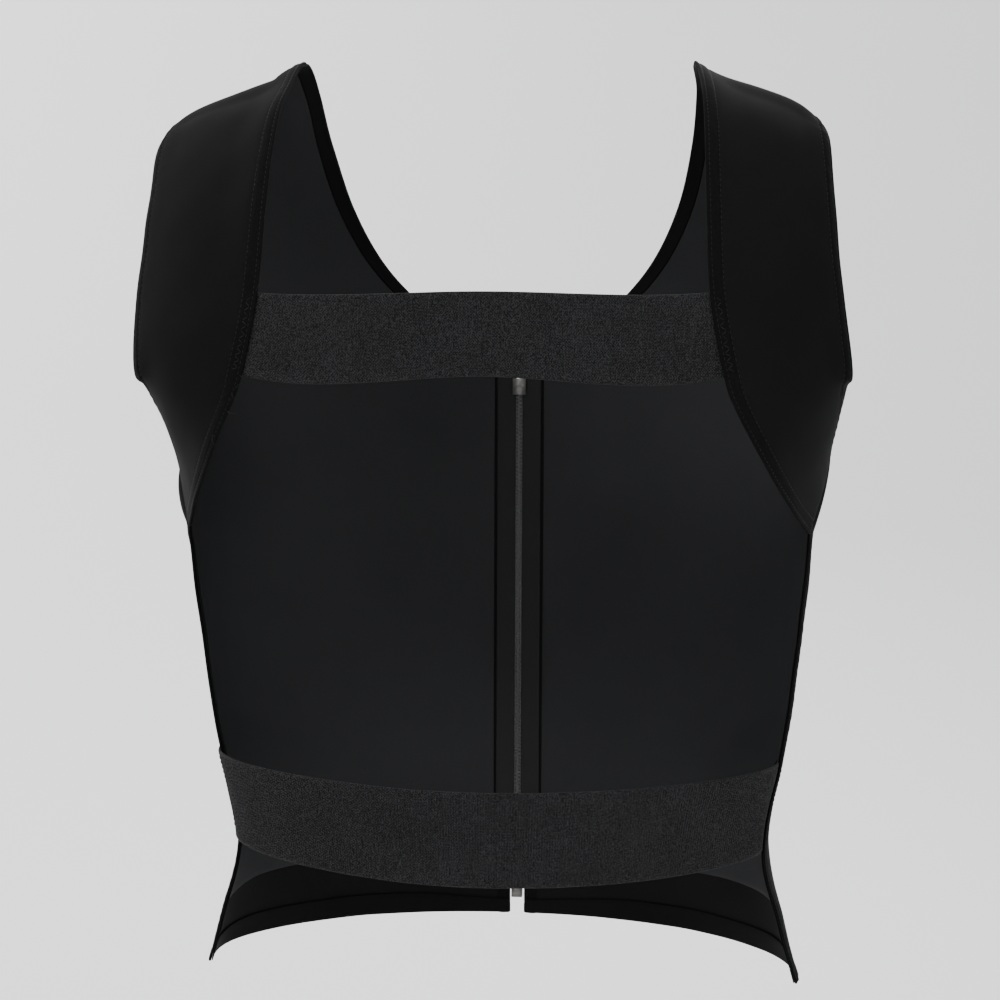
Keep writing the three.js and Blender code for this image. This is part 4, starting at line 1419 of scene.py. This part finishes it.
@dataclass
class Zip:
    """The zip's hard pieces, in a frame whose origin is the top of the zip line.

    Args:
        pattern: The vest's cut.
        wardrobe: The finishes.
    """

    pattern: VestPattern
    wardrobe: Wardrobe
    pitch: float = 2.8
    tooth: tuple[float, float, float] = (3.3, 2.3, 1.34)
    tip: float = -1.0
    cord: tuple[float, float, float] = (0.9, 2.6, 1.5)
    top_free: float = 6.0
    end_free: float = 12.3
    depth: float = LINING_DEPTH + LINING_WALL / 2

    def _place(self) -> Matrix:
        """Zip frame to row frame."""
        cut = self.pattern
        low = -cut.length + cut.hem_height
        fall = cut.zip_depth(low) - cut.chest_depth
        tilt = math.atan2(fall, -low - cut.neck_drop)
        spot = Vector((0, cut.chest_depth, -cut.neck_drop)) * MM
        return Matrix.Translation(spot) @ Matrix.Rotation(tilt, 4, "X")

    def _tooth(self) -> tuple[np.ndarray, list[list[int]]]:
        """One bevelled tooth with a waist, its tip towards x = 0."""
        work = bmesh.new()
        bmesh.ops.create_cube(work, size=1)
        for vertex in work.verts:
            vertex.co.x = vertex.co.x * self.tooth[0] + self.tip + self.tooth[0] / 2
            vertex.co.y = vertex.co.y * self.tooth[1] - self.depth
            wide = 1.0 if vertex.co.x < self.tip + 1 else 1.2
            vertex.co.z *= self.tooth[2] * wide
        bmesh.ops.bevel(work, geom=work.edges[:], offset=0.2, segments=2, affect="EDGES", profile=0.6)
        work.verts.ensure_lookup_table()
        points = np.array([v.co[:] for v in work.verts])
        faces = [[v.index for v in f.verts] for f in work.faces]
        work.free()
        return points, faces

    def teeth(self, side: Side) -> bpy.types.Object:
        """A row of moulded teeth and the corded tape edge that holds them."""
        cut = self.pattern
        low = -cut.length + cut.hem_height
        length = math.hypot(-low - cut.neck_drop, cut.zip_depth(low) - cut.chest_depth)
        points, faces = self._tooth()
        first = self.top_free + self.pitch * (0.25 if side is Side.RIGHT else 0.75)
        drops = np.arange(first + self.tooth[2] / 2, length - self.end_free, self.pitch)
        all_points, all_faces = [], []
        for k, drop in enumerate(drops):
            all_points.append(points * (side.value, 1, 1) + (0, 0, -drop))
            all_faces += [[i + k * len(points) for i in face] for face in faces]
        rows = build("rows", np.vstack(all_points), all_faces)
        cord = self._cord(side, drops[0] - 1, drops[-1] + 1)
        thing = joined(f"moulded_zip_teeth_{side.label}", [rows, cord])
        thing.data.shade_smooth()
        thing.data.transform(self._place())
        self.wardrobe.dress(thing, "zip_teeth")
        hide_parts(f"zip_teeth_{side.label}")
        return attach(thing, "vest")

    def _cord(self, side: Side, top: float, bottom: float) -> bpy.types.Object:
        """The round cord woven into the tape's edge, which the teeth are moulded on."""
        inner, outer, wall = self.cord
        turns = 12
        angles = 2 * math.pi * np.arange(turns) / turns
        x = side.value * ((inner + outer) / 2 + (outer - inner) / 2 * np.cos(angles))
        y = -self.depth + wall / 2 * np.sin(angles)
        rings = [np.stack([x, y, np.full(turns, -drop)], axis=1) for drop in (top, bottom)]
        faces = [[k, (k + 1) % turns, turns + (k + 1) % turns, turns + k] for k in range(turns)]
        faces += [list(range(turns))[::-1], list(range(turns, 2 * turns))]
        return build("cord", np.vstack(rings), faces)

    def hardware(self, node: str, body: str, width: float = 0.22) -> bpy.types.Object:
        """A hard piece with softened edges, from its solid.

        Args:
            node: The solid it stands for.
            body: The body it rides on.
            width: How much its edges are rounded, in millimetres.

        Returns:
            The piece.
        """
        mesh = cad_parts[node].data.copy()
        work = bmesh.new()
        work.from_mesh(mesh)
        bmesh.ops.remove_doubles(work, verts=work.verts, dist=1e-6)
        bmesh.ops.dissolve_limit(work, angle_limit=math.radians(2), verts=work.verts, edges=work.edges)
        sharp = [e for e in work.edges if len(e.link_faces) == 2 and e.calc_face_angle() > math.radians(25)]
        bmesh.ops.bevel(work, geom=sharp, offset=width * MM, segments=2, affect="EDGES", clamp_overlap=True)
        work.to_mesh(mesh)
        work.free()
        mesh.shade_smooth()
        thing = placed(f"cast_{node}", mesh)
        self.wardrobe.dress(thing, "zip_metal")
        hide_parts(node)
        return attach(thing, body)

    def make(self) -> None:
        """Builds teeth, stops, pin, box, slider and pull tab."""
        for side in Side:
            self.teeth(side)
            self.hardware(f"zip_top_stop_{side.label}", "vest")
        for node in ("zip_insertion_pin", "zip_retainer_box"):
            self.hardware(node, "vest")
        self.hardware("zip_slider", "slider", 0.2)
        self.hardware("zip_pull_tab", "pull_tab", 0.25)


# ---------------------------------------------------------------- studio


@dataclass
class Studio:
    """Pale sweep, soft lights and the camera."""

    camera_mm: tuple[float, float, float] = (143.0, -1266.0, -157.0)
    yaw: float = 6.45
    pitch: float = 5.88
    focal_share: float = 1.9
    floor: float = -1.05

    def sweep(self) -> None:
        """A floor that curves up into a backdrop."""
        half, back, bend, top = 14.0, 3.0, 1.5, 12.0
        profile = [(-12.0, self.floor), (back - bend, self.floor)]
        for k in range(1, 17):
            angle = math.pi / 2 * k / 16
            profile.append((back - bend + bend * math.sin(angle), self.floor + bend * (1 - math.cos(angle))))
        profile.append((back, top))
        points = [(x, y, z) for y, z in profile for x in (-half, half)]
        faces = [(2 * k, 2 * k + 1, 2 * k + 3, 2 * k + 2) for k in range(len(profile) - 1)]
        mesh = bpy.data.meshes.new("studio_sweep")
        mesh.from_pydata(points, [], faces)
        mesh.shade_smooth()
        thing = placed("studio_sweep", mesh)
        shader = Shader("studio_paper")
        shader.bsdf.inputs["Base Color"].default_value = (0.88, 0.88, 0.88, 1)
        shader.bsdf.inputs["Roughness"].default_value = 0.9
        mesh.materials.append(shader.material)

    def light(self, name: str, place: tuple[float, float, float], size: float, power: float,
              aim: tuple[float, float, float] = (0, 0, -0.3)) -> None:
        """Adds a square soft light.

        Args:
            name: Its name.
            place: Where it stands, in metres.
            size: Its side.
            power: Its power in watts.
            aim: The point it faces, the vest's middle unless told otherwise.
        """
        lamp = bpy.data.lights.new(name, "AREA")
        lamp.size = size
        lamp.energy = power
        thing = placed(name, lamp)
        thing.location = place
        thing.rotation_euler = (Vector(aim) - Vector(place)).to_track_quat("-Z", "Y").to_euler()

    def make(self) -> None:
        """Sets the scene round the vest."""
        self.sweep()
        self.light("key", (-1.5, -1.7, 1.5), 1.4, 38)
        self.light("fill", (1.8, -1.6, 0.6), 1.6, 20)
        self.light("top", (0.0, 0.3, 1.9), 1.2, 16)
        self.light("wash", (-2.4, 0.9, 1.4), 1.2, 70, (-0.9, 3.0, -0.1))
        self.light("front_fill", (0.3, 1.7, 0.8), 1.5, 25)
        world = bpy.data.worlds.new("studio_air")
        bpy.context.scene.world = world
        world.use_nodes = True
        air = world.node_tree.nodes["Background"]
        air.inputs["Color"].default_value = (0.9, 0.91, 0.92, 1)
        air.inputs["Strength"].default_value = 0.95
        lens = bpy.data.cameras.new("camera")
        lens.sensor_width = 36
        lens.lens = 36 * self.focal_share
        lens.clip_start = 0.01
        camera = placed("camera", lens)
        camera.location = Vector(self.camera_mm) * MM
        camera.rotation_euler = (math.radians(90 - self.pitch), 0, math.radians(self.yaw))
        bpy.context.scene.camera = camera


@dataclass(frozen=True)
class LooseThread:
    """A thread end that sticks out of a hem.

    Args:
        station: Where it leaves the back panel's inner hem.
        column: How far in from the edge.
        reach: Where it ends, as millimetres across, outward and up.
        curl: How far its middle bows, in millimetres.
    """

    station: float
    column: float
    reach: tuple[float, float, float]
    curl: float

    def make(self, panel: Panel, side: Side, number: int) -> bpy.types.Object:
        """Builds the thread end.

        Args:
            panel: The surface it leaves.
            side: Which side of the vest.
            number: Its number.

        Returns:
            The thread end.
        """
        corner = np.array([0, 0.02])
        patch = panel.patch(side, self.station + corner, self.column + corner)
        start, normal = patch.places[0, 0], patch.normals[0, 0]
        end = start + np.array(self.reach)
        points = 24
        t = np.linspace(0, 1, points)[:, None]
        line = start * (1 - t) + end * t + normal * np.sin(np.pi * t) * self.curl + normal * 0.3 * (1 - t)
        length = float(np.linalg.norm(np.diff(line, axis=0), axis=1).sum())
        strand = Stitching(length=length * 0.98, gap=0.0, radius=0.16, shares=tuple(np.linspace(0, 1, 15)))
        return strand.along(f"loose_{number}", line, np.repeat(normal[None], points, axis=0))


LOOSE_THREADS = (
    LooseThread(5.35, 0.1, (4.5, -2.0, 3.0), 1.2),
    LooseThread(5.5, 0.2, (3.0, -2.5, -5.0), 2.0),
    LooseThread(6.1, 0.05, (6.0, -1.0, -1.5), 1.5),
    LooseThread(6.6, 0.3, (2.0, -3.0, -6.5), 1.8),
    LooseThread(3.98, 0.02, (2.5, -1.0, 4.0), 0.8),
    LooseThread(5.02, 0.04, (3.5, -1.0, -2.5), 0.9),
)


def make_loose_threads(pattern: VestPattern, wardrobe: Wardrobe) -> None:
    """Adds the thread ends on the left back panel's hem."""
    panel = pattern.back_panel()
    ends = [one.make(panel, Side.LEFT, k) for k, one in enumerate(LOOSE_THREADS)]
    wardrobe.thread("loose_threads", ends)


def make_bands(pattern: VestPattern, wardrobe: Wardrobe) -> None:
    """Builds the two elastic bands."""
    behind = -pattern.back_depth - 3
    top = -pattern.upper_band_drop
    end = top - pattern.upper_band_width
    ElasticBand("upper_elastic_band", pattern.back_panel(), (pattern.BAND_TOP, pattern.BAND_END), 0.97, 0.0,
                ((0, behind, top), (0, behind, end)), (1.0, 1.0), (LINING_DEPTH, LINING_DEPTH),
                wardrobe).make()
    behind = -pattern.waist_back
    top = -pattern.lower_band_drop - pattern.band_sag
    end = top - pattern.lower_band_width
    ElasticBand("lower_elastic_band", pattern.front_panel(), (pattern.LOWER_TOP, pattern.LOWER_END),
                2.03, 3.0, ((0, behind, top), (0, behind, end)), (0.65, 1.3),
                (LINING_DEPTH, -LAYER_GAP - BAND_WALL), wardrobe).make()


def main() -> None:
    """Builds the vest piece by piece and sets the studio."""
    logging.basicConfig(level=logging.INFO, format="%(name)s: %(message)s")
    pattern = VestPattern()
    wardrobe = Wardrobe()
    for side in Side:
        BackPanel(pattern, side, wardrobe).make()
        FrontPanel(pattern, side, wardrobe).make()
        LOG.info("%s panels are made", side.label)
    make_bands(pattern, wardrobe)
    make_loose_threads(pattern, wardrobe)
    Zip(pattern, wardrobe).make()
    Studio().make()


if __name__ == "__main__":
    main()
